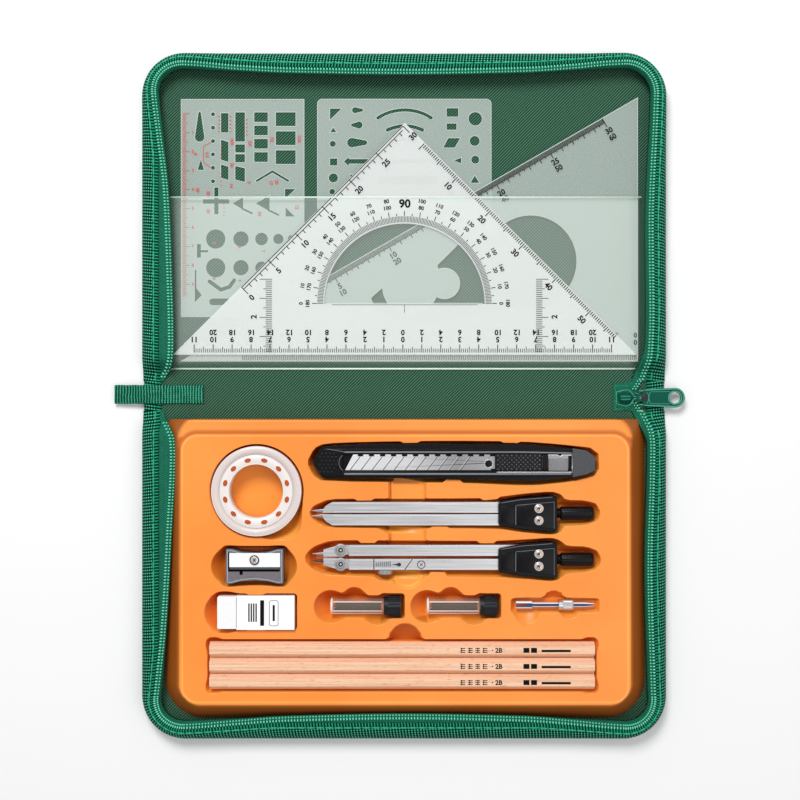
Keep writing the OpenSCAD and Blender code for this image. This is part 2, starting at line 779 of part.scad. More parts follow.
eraser_z = 5.9;
module eraser_block() {
    color("white") slab(eraser_z + 0.4, 16.9) rounded(-93.5, -116.6, -54.9, -100.4, 0.8);
}
module eraser_sleeve() {
    color("whitesmoke") slab(eraser_z, 17.3) difference() {
        box2(-83.9, -117, -54.9, -100);
        box2(-83.9, -116.65, -54.9, -100.35);
    }
    color("whitesmoke") for (z = [eraser_z, 16.95])
        slab(z, z + 0.35) box2(-83.9, -116.8, -54.9, -100.2);
}

lead_y = -105.75;
lead_r = 4;
lead_z = floors[7] + 0.1 + 5.2;
module lead_tube(x) {
    color([0.93, 0.85, 0.78, 0.6]) difference() {
        bar_x(x - 36.9, x - 3, lead_y, lead_z, lead_r);
        bar_x(x - 36, x - 2, lead_y, lead_z, lead_r - 0.6);
    }
}
module lead_cap(x) {
    color(black) difference() {
        union() {
            bar_x(x - 10.2, x - 8.2, lead_y, lead_z, 4.6);
            bar_x(x - 8.2, x - 1.7, lead_y, lead_z, 5.2, 12);
        }
        bar_x(x - 11, x - 2.8, lead_y, lead_z, lead_r + fit);
    }
}
module lead_tube_left() { lead_tube(0); }
module lead_cap_left() { lead_cap(0); }
module lead_tube_right() { lead_tube(lead_pitch); }
module lead_cap_right() { lead_cap(lead_pitch); }

adaptor_y = -104.8;
adaptor_z = 14.6;
module adaptor_rod() {
    color(steel) difference() {
        union() {
            bar_x(56.1, 64, adaptor_y, adaptor_z, 1.9);
            bar_x(64, 91, adaptor_y, adaptor_z, 1.2);
            cone_x(91, 95.4, adaptor_y, adaptor_z, 1.2, 0.6);
        }
        translate([55, adaptor_y - 0.5, adaptor_z - 3]) cube([6.6, 1, 6]);
    }
}
module adaptor_collar() {
    color("silver") difference() {
        union() {
            bar_x(77.5, 79.6, adaptor_y, adaptor_z, 2.65);
            bar_x(79.6, 84.8, adaptor_y, adaptor_z, 2.4, 10);
        }
        bar_x(77, 86, adaptor_y, adaptor_z, 1.2 + fit);
    }
}

// hexagonal pencil lying on a flat, with its core flush at both ends
pencil_pitch = 8.05;
pencil_z = floors[10] + 0.1 + pencil_w * cos(30) / 2;
module pencil(n) {
    y = -127.3 - n * pencil_pitch;
    x0 = -1 - pencil_l / 2;
    color(wood) difference() {
        translate([x0, y, pencil_z]) rotate([0, 90, 0]) rotate([0, 0, 30])
            cylinder(h = pencil_l, r = pencil_w / 2, $fn = 6);
        bar_x(x0 - 1, x0 + pencil_l + 1, y, pencil_z, 1.1);
    }
    color(black) bar_x(x0, x0 + pencil_l, y, pencil_z, 1.1 - fit / 2);
}
module pencil_upper() { pencil(0); }
module pencil_middle() { pencil(1); }
module pencil_lower() { pencil(2); }

// ---------------------------------------------------------------- one line for each node
base_cover();
base_board();
base_lining();
base_gusset();
base_zip();
spine_cover();
spine_lining();
webbing_tab();
zip_end_patch();
lid_cover();
lid_board();
lid_lining();
lid_gusset();
lid_zip();
clear_pocket();
zip_slider();
zip_puller();
tray();
set_square_45();
set_square_30_60();
template_symbols();
template_shapes();
tape_spool();
tape_winding();
knife_body();
knife_rail();
knife_end_cap();
knife_blade();
knife_slider();
divider_head();
divider_handle();
divider_screws();
divider_leg_upper();
divider_leg_lower();
divider_point_upper();
divider_point_lower();
compass_head();
compass_handle();
compass_screws();
compass_leg_upper();
compass_leg_lower();
compass_knee_upper();
compass_knee_lower();
compass_needle();
compass_lead();
compass_thumb_screw();
sharpener_body();
sharpener_blade();
sharpener_screw();
eraser_block();
eraser_sleeve();
lead_tube_left();
lead_cap_left();
lead_tube_right();
lead_cap_right();
adaptor_rod();
adaptor_collar();
pencil_upper();
pencil_middle();
pencil_lower();
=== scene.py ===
"""Looks of a zipped drafting instrument case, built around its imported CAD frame.

Lengths inside this script are millimetres, in the CAD frame, and become metres in piece().
"""

import math

import bpy
import numpy as np
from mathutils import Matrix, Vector
from mathutils.geometry import delaunay_2d_cdt


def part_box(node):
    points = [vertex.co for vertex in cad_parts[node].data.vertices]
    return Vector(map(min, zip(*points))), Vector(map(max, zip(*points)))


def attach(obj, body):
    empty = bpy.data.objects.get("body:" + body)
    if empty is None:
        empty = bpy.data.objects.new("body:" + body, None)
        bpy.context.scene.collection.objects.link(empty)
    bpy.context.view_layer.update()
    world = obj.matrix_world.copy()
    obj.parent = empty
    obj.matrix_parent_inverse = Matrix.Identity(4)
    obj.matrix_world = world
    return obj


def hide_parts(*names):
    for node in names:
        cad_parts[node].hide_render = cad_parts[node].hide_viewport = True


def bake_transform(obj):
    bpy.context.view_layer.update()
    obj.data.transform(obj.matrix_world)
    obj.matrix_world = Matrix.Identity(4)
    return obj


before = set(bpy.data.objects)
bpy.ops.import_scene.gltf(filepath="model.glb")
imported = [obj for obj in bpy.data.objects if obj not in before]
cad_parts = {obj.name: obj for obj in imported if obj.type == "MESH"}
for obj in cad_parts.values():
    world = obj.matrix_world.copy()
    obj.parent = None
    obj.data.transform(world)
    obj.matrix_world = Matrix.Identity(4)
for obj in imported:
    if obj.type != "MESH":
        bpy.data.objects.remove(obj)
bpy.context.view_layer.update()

MM = 0.001


def box(node):
    """Lowest and highest corner of a CAD node, in millimetres."""
    low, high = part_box(node)
    return np.array(low) / MM, np.array(high) / MM


# ---------------------------------------------------------------- meshes


def piece(name, points, faces, material, body=None, smooth=True, uv=None, normals=None,
          tone=None):
    """A mesh object from points in millimetres; uv, normals and tone hold a row for each point."""
    mesh = bpy.data.meshes.new(name)
    mesh.from_pydata((np.asarray(points, float) * MM).tolist(), [], faces)
    mesh.materials.append(material)
    if uv is not None:
        layer = mesh.uv_layers.new(name="cloth")
        corners = np.empty(len(mesh.loops), int)
        mesh.loops.foreach_get("vertex_index", corners)
        layer.data.foreach_set("uv", np.asarray(uv, np.float32)[corners].ravel())
    mesh.polygons.foreach_set("use_smooth", [smooth] * len(mesh.polygons))
    # tone holds colours multiplied into the material; on the tray they are painted light and shade
    if tone is not None:
        layer = mesh.color_attributes.new("tone", "FLOAT_COLOR", "POINT")
        colors = np.column_stack([tone, np.ones(len(tone))])
        layer.data.foreach_set("color", colors.astype(np.float32).ravel())
    if normals is not None:
        mesh.normals_split_custom_set_from_vertices(np.asarray(normals, float).tolist())
    mesh.validate(clean_customdata=False)
    made = bpy.data.objects.new(name, mesh)
    bpy.context.scene.collection.objects.link(made)
    if body:
        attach(made, body)
    return made


class Build:
    """Collects many small shapes into one mesh."""

    def __init__(self):
        self.points, self.faces = [], []

    def add(self, points, faces):
        start = len(self.points)
        self.points.extend(map(tuple, points))
        self.faces.extend([tuple(start + i for i in face) for face in faces])

    def piece(self, name, material, body=None, smooth=True):
        return piece(name, self.points, self.faces, material, body, smooth)


def grid_faces(rows, columns, closed=False):
    """Quads between neighbouring rows of points; closed joins the last column to the first."""
    wide = columns if closed else columns - 1
    return [
        (r * columns + c, r * columns + (c + 1) % columns,
         (r + 1) * columns + (c + 1) % columns, (r + 1) * columns + c)
        for r in range(rows - 1) for c in range(wide)
    ]


def tube(sections, sides=12, caps=True):
    """Points and faces of a tube through (centre, radius, radius) sections along X."""
    angles = np.arange(sides) * 2 * math.pi / sides
    points = [
        (x, y + ry * math.cos(a), z + rz * math.sin(a))
        for (x, y, z), ry, rz in sections for a in angles
    ]
    faces = grid_faces(len(sections), sides, closed=True)
    if caps:
        faces.append(tuple(range(sides)))
        faces.append(tuple(range(len(points) - 1, len(points) - sides - 1, -1)))
    return points, faces


def lathe_x(profile, y, z, sides=48):
    """A turned shape about an axis along X from (x, radius) pairs."""
    return tube([((x, y, z), r, r) for x, r in profile], sides)


def lathe_z(profile, x, y, sides=64):
    """A closed ring or disc turned about a vertical axis, from a closed loop of (radius, z)."""
    angles = np.arange(sides) * 2 * math.pi / sides
    points = [(x + r * math.cos(a), y + r * math.sin(a), z) for a in angles for r, z in profile]
    count = len(profile)
    faces = [
        (s * count + i, ((s + 1) % sides) * count + i,
         ((s + 1) % sides) * count + (i + 1) % count, s * count + (i + 1) % count)
        for s in range(sides) for i in range(count)
    ]
    return points, faces


# ---------------------------------------------------------------- materials


def rgb(red, green, blue):
    """Linear colour from the usual 0 to 255 values."""
    scale = [c / 255 for c in (red, green, blue)]
    return tuple(c / 12.92 if c <= 0.04045 else ((c + 0.055) / 1.055) ** 2.4 for c in scale)


class Paint:
    """A procedural material: a Principled shader and the texture nodes that feed it."""

    def __init__(self, name, color=(0.8, 0.8, 0.8), **inputs):
        self.material = bpy.data.materials.new(name)
        self.material.use_nodes = True
        self.tree = self.material.node_tree
        self.shader = self.tree.nodes["Principled BSDF"]
        self.set("Base Color", (*color, 1))
        for key, value in inputs.items():
            self.set(key.replace("_", " ").title().replace("Ior", "IOR"), value)
        self.heights = []

    def set(self, socket, value):
        """Links a socket, or sets its own value."""
        if isinstance(value, bpy.types.NodeSocket):
            self.tree.links.new(value, self.shader.inputs[socket])
        else:
            self.shader.inputs[socket].default_value = value

    def node(self, kind, *inputs, **settings):
        made = self.tree.nodes.new("ShaderNode" + kind)
        for key, value in settings.items():
            if hasattr(made, key):
                setattr(made, key, value)
            else:
                made.inputs[key.replace("_", " ").title()].default_value = value
        for index, value in enumerate(inputs):
            if value is None:
                continue
            if isinstance(value, bpy.types.NodeSocket):
                self.tree.links.new(value, made.inputs[index])
            else:
                made.inputs[index].default_value = value
        return made

    def place(self, stretch=(1, 1, 1), turn=0.0):
        """Object coordinates in millimetres, turned about Z and stretched."""
        scale = [s / MM for s in stretch]
        coords = self.node("TexCoord").outputs["Object"]
        mapped = self.node("Mapping", coords, (0, 0, 0), (0, 0, turn), scale)
        return mapped.outputs[0]

    def axes(self, vector):
        return self.node("SeparateXYZ", vector).outputs

    def cloth(self):
        """(along, across) of a swept cloth in millimetres, from its UV map."""
        return self.axes(self.node("UVMap", uv_map="cloth").outputs[0])[:2]

    def math(self, operation, a, b=0.0):
        return self.node("Math", a, b, operation=operation).outputs[0]

    def total(self, first, *others):
        """The first value plus each of the others times its weight."""
        for value, weight in others:
            first = self.math("ADD", first, self.math("MULTIPLY", value, weight))
        return first

    def wave(self, value, pitch):
        """A sine of value with that pitch, from -1 to 1."""
        return self.math("SINE", self.math("MULTIPLY", value, 2 * math.pi / pitch))

    def noise(self, vector, scale, detail=3.0, rough=0.55):
        made = self.node("TexNoise", vector)
        for key, value in (("Scale", scale), ("Detail", detail), ("Roughness", rough)):
            made.inputs[key].default_value = value
        return made.outputs[0]

    def ramp(self, value, *stops):
        """A colour ramp with (position, linear colour) stops."""
        made = self.node("ValToRGB", value)
        points = made.color_ramp.elements
        while len(points) < len(stops):
            points.new(0.5)
        for point, (position, color) in zip(points, stops):
            point.position = position
            point.color = (*color, 1)
        return made.outputs[0]

    def dye(self, tone, low, high, *stops):
        """Colours the surface with a ramp over tone's range from low to high."""
        self.set("Base Color", self.ramp(self.span(tone, low, high), *stops))

    def span(self, value, low, high, to_low=0.0, to_high=1.0):
        return self.node("MapRange", value, low, high, to_low, to_high).outputs[0]

    def mix(self, factor, a, b):
        made = self.node("Mix", data_type="RGBA")
        for index, value in ((0, factor), (6, a), (7, b)):
            if isinstance(value, bpy.types.NodeSocket):
                self.tree.links.new(value, made.inputs[index])
            else:
                made.inputs[index].default_value = value if index == 0 else (*value, 1)
        return made.outputs[2]

    def bump(self, height, depth, strength=1.0):
        """Raises the surface by height times depth millimetres."""
        made = self.node("Bump")
        made.inputs["Strength"].default_value = strength
        made.inputs["Distance"].default_value = depth * MM
        self.tree.links.new(height, made.inputs["Height"])
        if self.heights:
            self.tree.links.new(self.heights[-1], made.inputs["Normal"])
        self.heights.append(made.outputs[0])
        self.set("Normal", made.outputs[0])
        return self


def plain(name, color, depth=0.02, grain=0.6, shade=0.88, **inputs):
    """Moulded plastic or metal with a faint grain in tone, gloss and surface."""
    paint = Paint(name, color, **inputs)
    grains = paint.noise(paint.place(), grain, 4)
    darker = tuple(c * shade for c in color)
    paint.set("Base Color", paint.mix(paint.span(grains, 0.35, 0.65), darker, color))
    rough = inputs.get("roughness", 0.5)
    paint.set("Roughness", paint.span(grains, 0.3, 0.7, rough * 0.85, rough * 1.15))
    paint.bump(grains, depth)
    return paint.material


def twill_lining():
    paint = Paint("twill_lining", roughness=0.85, specular_ior_level=0.15)
    x, y, _ = paint.axes(paint.place())
    rib = paint.wave(paint.math("SUBTRACT", x, y), 1.6)
    cross = paint.wave(paint.math("ADD", x, y), 0.8)
    fuzz = paint.noise(paint.place(), 0.9, 5)
    tone = paint.total(rib, (cross, 0.22), (fuzz, 0.7))
    paint.dye(tone, -1.0, 1.7, (0.0, rgb(22, 54, 39)), (0.5, rgb(42, 82, 62)),
              (1.0, rgb(92, 138, 112)))
    return paint.bump(tone, 0.12).material


def woven_cover():
    paint = Paint("woven_cover", roughness=0.8, sheen_weight=0.3)
    x, y, _ = paint.axes(paint.place())
    weave = paint.math("MULTIPLY", paint.wave(x, 1.5), paint.wave(y, 1.5))
    tone = paint.total(weave, (paint.noise(paint.place(), 0.7), 0.6))
    paint.dye(tone, -0.7, 1.3, (0.0, rgb(6, 66, 50)), (0.5, rgb(16, 112, 84)),
              (1.0, rgb(60, 170, 130)))
    return paint.bump(tone, 0.15).material


def woven_band():
    """Coarse basket weave with mint highlights, and plain ribs inside the stitch line."""
    paint = Paint("woven_band", roughness=0.75, specular_ior_level=0.12)
    along, across = paint.cloth()
    slant = paint.math("SUBTRACT", along, paint.math("MULTIPLY", across, 0.12))
    row = paint.wave(slant, 1.53)
    dots = paint.wave(paint.math("ADD", across, paint.math("MULTIPLY", along, 0.05)), 1.4)
    inner = paint.span(across, 2.2, 2.5)
    dots = paint.math("MULTIPLY", dots, paint.math("MULTIPLY", inner, 0.65))
    fuzz = paint.noise(paint.place(), 0.9, 4)
    tone = paint.total(paint.math("ADD", row, dots), (fuzz, 0.7))
    paint.dye(tone, -1.1, 2.0, (0.0, rgb(0, 12, 9)), (0.3, rgb(0, 48, 36)),
              (0.55, rgb(4, 88, 68)), (0.8, rgb(38, 168, 128)), (1.0, rgb(120, 232, 192)))
    return paint.bump(tone, 0.2).material


def zip_tape():
    """Herringbone: chevrons whose arms meet in the middle of each rib."""
    paint = Paint("zip_tape", roughness=0.75, specular_ior_level=0.2)
    along, across = paint.cloth()
    fold = paint.math("PINGPONG", across, 1.3)
    rib = paint.wave(paint.math("ADD", along, paint.math("MULTIPLY", fold, 1.5)), 1.1)
    tone = paint.total(rib, (paint.noise(paint.place(), 0.9), 0.9))
    paint.dye(tone, -1.0, 1.6, (0.0, rgb(0, 34, 27)), (0.45, rgb(2, 78, 61)),
              (1.0, rgb(44, 158, 122)))
    return paint.bump(tone, 0.1).material


def grosgrain():
    paint = Paint("grosgrain", roughness=0.75, specular_ior_level=0.15)
    place = paint.place()
    x, y, _ = paint.axes(place)
    sway = paint.math("MULTIPLY", paint.noise(paint.place((0.12, 0.35, 1)), 1.0, 2), 1.3)
    rib = paint.wave(paint.math("ADD", x, sway), 1.43)
    weave = paint.wave(y, 0.9)
    tone = paint.total(rib, (weave, 0.25), (paint.noise(place, 1.1), 0.9))
    paint.dye(tone, -0.9, 1.8, (0.0, rgb(0, 40, 30)), (0.45, rgb(6, 88, 68)),
              (1.0, rgb(78, 190, 152)))
    return paint.bump(rib, 0.2).material


def formed_orange():
    """Satin thermoformed sheet with a very fine orange peel; its colour is multiplied by the painted
    light and shade in the tone attribute.
    """
    paint = Paint("formed_orange", rgb(255, 150, 62), roughness=0.42)
    peel = paint.noise(paint.place(), 0.9, 3)
    cloud = paint.noise(paint.place(), 0.02, 2)
    color = paint.mix(paint.span(cloud, 0.35, 0.65), rgb(250, 142, 50), rgb(255, 152, 60))
    # painted light and shade from the tray's tone attribute
    tone = paint.node("VertexColor", layer_name="tone").outputs[0]
    color = paint.node("VectorMath", color, tone, operation="MULTIPLY").outputs[0]
    paint.set("Base Color", color)
    paint.set("Roughness", paint.span(peel, 0.3, 0.7, 0.36, 0.48))
    return paint.bump(peel, 0.015).material


def bare_wood():
    """Straight-grained pencil wood with short dark pores along X."""
    paint = Paint("bare_wood", roughness=0.55)
    grain = paint.noise(paint.place((0.02, 1.2, 1.2)), 1.0, 5, 0.6)
    pores = paint.noise(paint.place((0.25, 3.0, 3.0)), 1.0, 2)
    color = paint.ramp(grain, (0.25, rgb(222, 165, 128)), (0.5, rgb(243, 195, 160)),
                       (0.75, rgb(252, 214, 184)))
    color = paint.mix(paint.span(pores, 0.62, 0.72), color, rgb(190, 125, 88))
    paint.set("Base Color", color)
    return paint.bump(grain, 0.05).material


def brushed(name, color, roughness, stretch=(0.03, 2.0, 2.0)):
    """Metal brushed along X."""
    paint = Paint(name, color, metallic=1.0, roughness=roughness)
    lines = paint.noise(paint.place(stretch), 1.0, 4)
    darker = tuple(c * 0.8 for c in color)
    paint.set("Base Color", paint.mix(paint.span(lines, 0.3, 0.7), darker, color))
    paint.set("Roughness", paint.span(lines, 0.3, 0.7, roughness * 0.8, roughness * 1.25))
    return paint.bump(lines, 0.01).material


def mirror_chrome():
    """Polished chrome with a painted reflection: dark blue where it faces straight up, white along its
    flanks.
    """
    paint = Paint("chrome", roughness=0.2, metallic=0.1)
    facing = paint.axes(paint.node("TexCoord").outputs["Normal"])[2]
    smudge = paint.noise(paint.place(), 0.8, 3)
    facing = paint.math("ADD", facing, paint.math("MULTIPLY", smudge, 0.04))
    color = paint.ramp(facing, (0.0, rgb(150, 152, 156)), (0.55, rgb(252, 252, 254)),
                       (0.84, rgb(250, 252, 255)), (0.9, rgb(58, 88, 128)), (0.97, rgb(24, 50, 92)),
                       (1.0, rgb(40, 66, 108)))
    paint.set("Base Color", color)
    return paint.bump(smudge, 0.01).material


def clear(name, color, alpha, roughness, depth=0.02, **inputs):
    """Thin clear or frosted plastic: what lies under it shows through by 1 - alpha."""
    paint = Paint(name, color, alpha=alpha, roughness=roughness, **inputs)
    frost = paint.noise(paint.place(), 1.5, 3)
    paint.set("Roughness", paint.span(frost, 0.3, 0.7, roughness * 0.85, roughness * 1.15))
    return paint.bump(frost, depth).material


def snap_blade():
    """Ground steel with a painted reflection: bright towards its tip and greyer towards the slider."""
    paint = Paint("ground_blade", metallic=0.35, roughness=0.3)
    x, _, _ = paint.axes(paint.place())
    lines = paint.noise(paint.place((0.3, 1.5, 1)), 1.0, 3)
    color = paint.ramp(paint.span(x, -30, 40), (0.0, rgb(240, 240, 242)), (0.45, rgb(222, 222, 224)),
                       (0.8, rgb(150, 150, 152)), (1.0, rgb(165, 165, 168)))
    paint.set("Base Color", paint.mix(paint.span(lines, 0.2, 0.9, 0, 0.12), color, rgb(150, 150, 152)))
    return paint.bump(lines, 0.01).material


FILM_LOW, FILM_HIGH = box("clear_pocket")


def frosted(name, color, bare, covered):
    """Frosted plate that looks denser where the film lies against it."""
    paint = Paint(name, color, roughness=0.4)
    _, y, _ = paint.axes(paint.place())
    paint.set("Alpha", paint.span(y, FILM_HIGH[1] - 0.1, FILM_HIGH[1] + 0.1, covered, bare))
    return paint.bump(paint.noise(paint.place(), 1.5, 3), 0.01).material


def veil_film():
    """Glossy film whose haze dies away along its welded lower edge and its ends."""
    paint = Paint("clear_film", rgb(240, 250, 244), roughness=0.12)
    x, y, _ = paint.axes(paint.place())
    haze = paint.span(y, FILM_LOW[1] + 1.6, FILM_LOW[1] + 4.2, 0.06, 0.2)
    end = FILM_HIGH[0]
    side = paint.span(paint.math("ABSOLUTE", x), end - 3.3, end - 6.8, 0.35, 1.0)
    paint.set("Alpha", paint.math("MULTIPLY", haze, side))
    return paint.bump(paint.noise(paint.place(), 1.5, 3), 0.01).material


LINING = twill_lining()
COVER = woven_cover()
BAND = woven_band()
TAPE = zip_tape()
RIBBED = grosgrain()
ORANGE = formed_orange()
WOOD = bare_wood()
SATIN = brushed("satin_aluminium", (0.8, 0.8, 0.815), 0.34)
CHROME = mirror_chrome()
SATIN_CHROME = brushed("satin_chrome", (0.85, 0.86, 0.88), 0.2)
BLADE = snap_blade()
COPPER = brushed("turned_screw", (0.8, 0.52, 0.36), 0.22, (1, 1, 1))
BLACK = plain("black_plastic", rgb(13, 13, 16), roughness=0.3, specular_ior_level=0.2)
MATT_BLACK = plain("matt_black", rgb(24, 25, 30), roughness=0.45, depth=0.05, grain=1.2,
                   specular_ior_level=0.3)
KNURLED = plain("knurled_black", rgb(40, 40, 43), roughness=0.25, specular_ior_level=0.6)
GREY = plain("grey_plastic", rgb(76, 78, 82), roughness=0.38, specular_ior_level=0.3)
# grey for painted highlights along edges and ridges of black plastic
HIGHLIGHT_GREY = plain("grey_highlight", rgb(118, 122, 130), roughness=0.35)
TONGUE = plain("grey_tongue", rgb(128, 128, 131), roughness=0.4)
RIVET = plain("rivet_steel", rgb(166, 166, 168), roughness=0.4, metallic=0.3)
SHARP_GREY = plain("sharpener_magnesium", rgb(118, 113, 117), roughness=0.45,
                   specular_ior_level=0.3)
SHARP_EDGE = plain("sharpener_edge", rgb(150, 166, 180), roughness=0.4)
BRIGHT = plain("polished_steel", rgb(250, 250, 252), shade=0.97, roughness=0.4)
SILVER = plain("silver_screw", rgb(214, 210, 208), roughness=0.25, metallic=0.4)
# near black painted shadow for gaps, slots and holes
SHADOW_BLACK = plain("shadow_gap", rgb(6, 6, 8), roughness=0.8, specular_ior_level=0.05)
WHITE = plain("white_plastic", rgb(240, 236, 234), shade=0.96, roughness=0.35)
RUBBER = plain("eraser_rubber", rgb(246, 246, 247), shade=0.98, roughness=0.6, depth=0.04)
CARD = plain("card_sleeve", rgb(254, 254, 254), shade=0.985, roughness=0.3)
GRAPHITE = plain("graphite", rgb(40, 40, 44), roughness=0.35)
LEADS = plain("lead_bundle", rgb(14, 20, 34), roughness=0.5, specular_ior_level=0.3)
GREEN_PAINT = plain("green_enamel", rgb(1, 84, 68), shade=0.94, roughness=0.35, specular_ior_level=0.12)
GREEN_HIGHLIGHT = plain("green_enamel_highlight", rgb(72, 158, 134), roughness=0.25)
EYE_SHADE = plain("painted_shade_green", rgb(2, 24, 18), roughness=0.5)
MARK = plain("engraved_mark", rgb(38, 38, 42), roughness=0.6)
SPOOL = clear("moulded_spool", rgb(246, 238, 234), 0.9, 0.35)
WINDOW_SHADE = plain("spool_window_shade", rgb(192, 88, 40), roughness=0.6, specular_ior_level=0.1)
BOARD = plain("fibre_board", rgb(96, 92, 84), roughness=0.8, depth=0.1)
FILM = veil_film()
FROST_WHITE = frosted("frosted_white", rgb(244, 248, 246), 0.5, 0.64)
FROST_GREY = frosted("frosted_grey", rgb(212, 226, 219), 0.31, 0.55)
WELD = plain("film_weld", rgb(226, 246, 234), roughness=0.35)
EDGE = clear("cut_edge", rgb(238, 246, 242), 0.4, 0.3)
PRINT = plain("black_print", rgb(14, 15, 16), roughness=0.6, specular_ior_level=0.1)
GREY_PRINT = clear("grey_print", rgb(84, 90, 89), 0.8, 0.5)
RED_PRINT = plain("red_print", rgb(206, 62, 58), roughness=0.6)
WINDING = clear("tape_winding", rgb(240, 226, 222), 0.82, 0.3)
TUBE = clear("clear_tube", rgb(255, 226, 204), 0.07, 0.2, specular_ior_level=0.08)
STITCH = plain("stitch_thread", rgb(20, 175, 125), roughness=0.6)
COIL = plain("zip_coil", rgb(110, 226, 188), roughness=0.35)

# ---------------------------------------------------------------- formed tray

# Heights are those of the CAD tray. The pockets follow what they hold more closely than the
# CAD's do, and the finger channel that crosses the long ones is shallower than the CAD's.
DECK_Z, LEDGE_Z, FOOT_Z = 17.5, 15.2, 2.06
DECK = (-111.7, -154, 112.7, -19.6, 8)
SKIRT = (-111.7, -154, 112.7, -12, 10)
LEDGE_OUT, FLARE = 1.2, 9.2     # ledge round the deck, and spread of the skirt below it
TRAY_BACK = -11.72              # edge beside the spine
TRAY_T = 0.7
RIM = 1.1                       # depth and width of the rounding of a pocket's rim
WALL = (0.1, 0.45)              # the side of a pocket ends this far outside its outline
HELD_GAP = 0.15                 # a pocket's floor reaches this far beyond what it holds
CLIMB = 1.5                     # above 1 its side is hollow, steepest at the rim

KNIFE_POCKET = [(-48.6, -33.5), (-44.9, -26.4), (-40, -24.2), (-20, -23.4), (24, -22.8),
                (60, -23.2), (78, -24.6), (97.2, -26.7), (97.6, -39.4), (84, -42.9), (63, -45.0),
                (30, -43.4), (-41, -42.7), (-45.6, -39.6)]
DIVIDER_POCKET = [(-47.9, -58.6), (-45.5, -55), (-40, -52.7), (-33, -51.8), (40, -51.7),
                  (48, -50.9), (60, -49.3), (74, -48.2), (78.4, -49.5), (81.4, -52.2), (91, -52.4),
                  (97, -54.6), (98.8, -58.6), (97, -62.6), (91, -64.6), (81.4, -65),
                  (78, -68.6), (73, -69.4), (58, -68), (48, -66.4), (-33, -66.2), (-42, -64.9),
                  (-46.5, -61.8)]
COMPASS_POCKET = [(-50, -80.6), (-48, -77.6), (-44.4, -75), (-37, -73), (-28, -72.6),
                  (40, -73.1), (50, -72.9), (62, -72.2), (74, -71.4), (78.4, -72.8),
                  (82, -75.3), (92, -75.6), (97.6, -78.4), (99.2, -82.2), (97.6, -86.2),
                  (92, -88.6), (82, -89.2), (78.4, -91.8), (73, -92.8), (60, -91.4),
                  (-25, -90.4), (-40, -89.8), (-46, -87.4), (-49.4, -84)]
KNIFE_HELD = [(-45.9, -33.2), (-41.2, -25.4), (-20, -24.4), (-3.5, -24), (58.7, -24.2),
              (84, -26.2), (95.4, -29.6), (95.4, -37.4), (84, -40.7), (63.8, -42.6), (30, -41.4),
              (-40.8, -40.8)]
DIVIDER_HELD = [(-45, -58.4), (-40.7, -57), (-36, -53.2), (47.4, -53.2), (74.6, -49.9),
                (76.6, -50.8), (76.7, -56), (94, -55.6), (95.4, -59), (94, -62.4), (76.7, -62.2),
                (76.6, -67.2), (74.6, -68.1), (47.4, -64.9), (-36, -64.9), (-40.7, -61.4)]
COMPASS_HELD = [(-44, -79), (-40.4, -77), (-34, -74.4), (47.4, -74.7), (74.6, -73.1),
                (76.6, -74), (76.7, -79.4), (94, -78.8), (95.4, -82.2), (94, -85.6), (76.7, -85.2),
                (76.6, -90.4), (74.6, -91.3), (47.4, -87.3), (-34, -87.5), (-40.4, -86.2),
                (-44, -83)]
# Floor height of each pocket, the shapes that make up its outline, and what it holds.
POCKETS = [
    (4.2, [(-74.1, -47.8, 23.3), (-74, -72.2, -51.5, -48, 8)], [(-74.1, -47.8, 22.6)]),
    (7.2, [KNIFE_POCKET], [KNIFE_HELD]),
    (7.9, [DIVIDER_POCKET, (-6.6, -63.5, 6)], [DIVIDER_HELD]),
    (7.9, [COMPASS_POCKET, (-8.6, -87, 6.4)], [COMPASS_HELD, (-13.2, -89.9, -6, -80, 0.5)]),
    (13.2, [(-8, -97, 11.3, -34, 9.6)], [(-6, -95, 9.3, -36, 7.6)]),
    (5.6, [(-90.6, -95.3, -59.2, -75.6, 1.5), (-87.6, -85.5, 9.4), (-63, -85.5, 9.4)],
     [(-89.2, -94, -60.6, -76.8, 0.8)]),
    (5.8, [(-94.3, -117.5, -54, -99.5, 1.5), (-90, -108.8, 10.4)],
     [(-93.5, -116.7, -54.9, -100.3, 0.8)]),
    (6.6, [(-38, -111.2, -9, -100.4, 1), (-11.4, -111.7, 0.1, -99.4, 1.4), (-37, -105.9, 8.5),
           (-25, -101.8, 6), (-13.6, -109, 6.2)],
     [(-37, -109.8, -9, -101.7, 0.5), (-10.4, -111.1, -1.5, -100.4, 1)]),
    (6.6, [(10.4, -111.2, 39.4, -100.4, 1), (37, -111.7, 48.5, -99.4, 1.4), (11.4, -105.9, 8.5),
           (23.4, -101.8, 6), (34.8, -109, 6.2)],
     [(11.4, -109.8, 39.4, -101.7, 0.5), (38, -111.1, 46.9, -100.4, 1)]),
    (11.6, [(53.4, -109, 98.2, -101.6, 1.5), (61.5, -109.4, 6.6), (75.2, -102, 5),
            (82.9, -108.2, 4.6)], [(56, -107.5, 95.5, -102, 1)]),
    (10.2, [(-98.5, -148.4, 96.5, -122.4, 1), (0.6, -121.7, 8.4), (-95.4, -124.8, 3.7),
            (-95.4, -145.9, 3.7), (93.4, -124.8, 3.7), (93.4, -145.9, 3.7)],
     [(-97.6, -147.5, 95.6, -123.2, 0.6)]),
]
CHANNEL = 4     # the pocket that crosses the three long ones
TAPE_AREA = (-98, -74, -46, -22, 20)    # pocket of the tape roll, painted lighter and kept out of the painted shade
# Painted shade on the floors left of the divider and compass, and between the pencils' finger hole and
# the rest.
DARK_AREAS = [(-48, -86, -37, -50, (0.66, 0.55, 0.5)), (-12, -123, 12, -111, (0.66, 0.6, 0.5))]
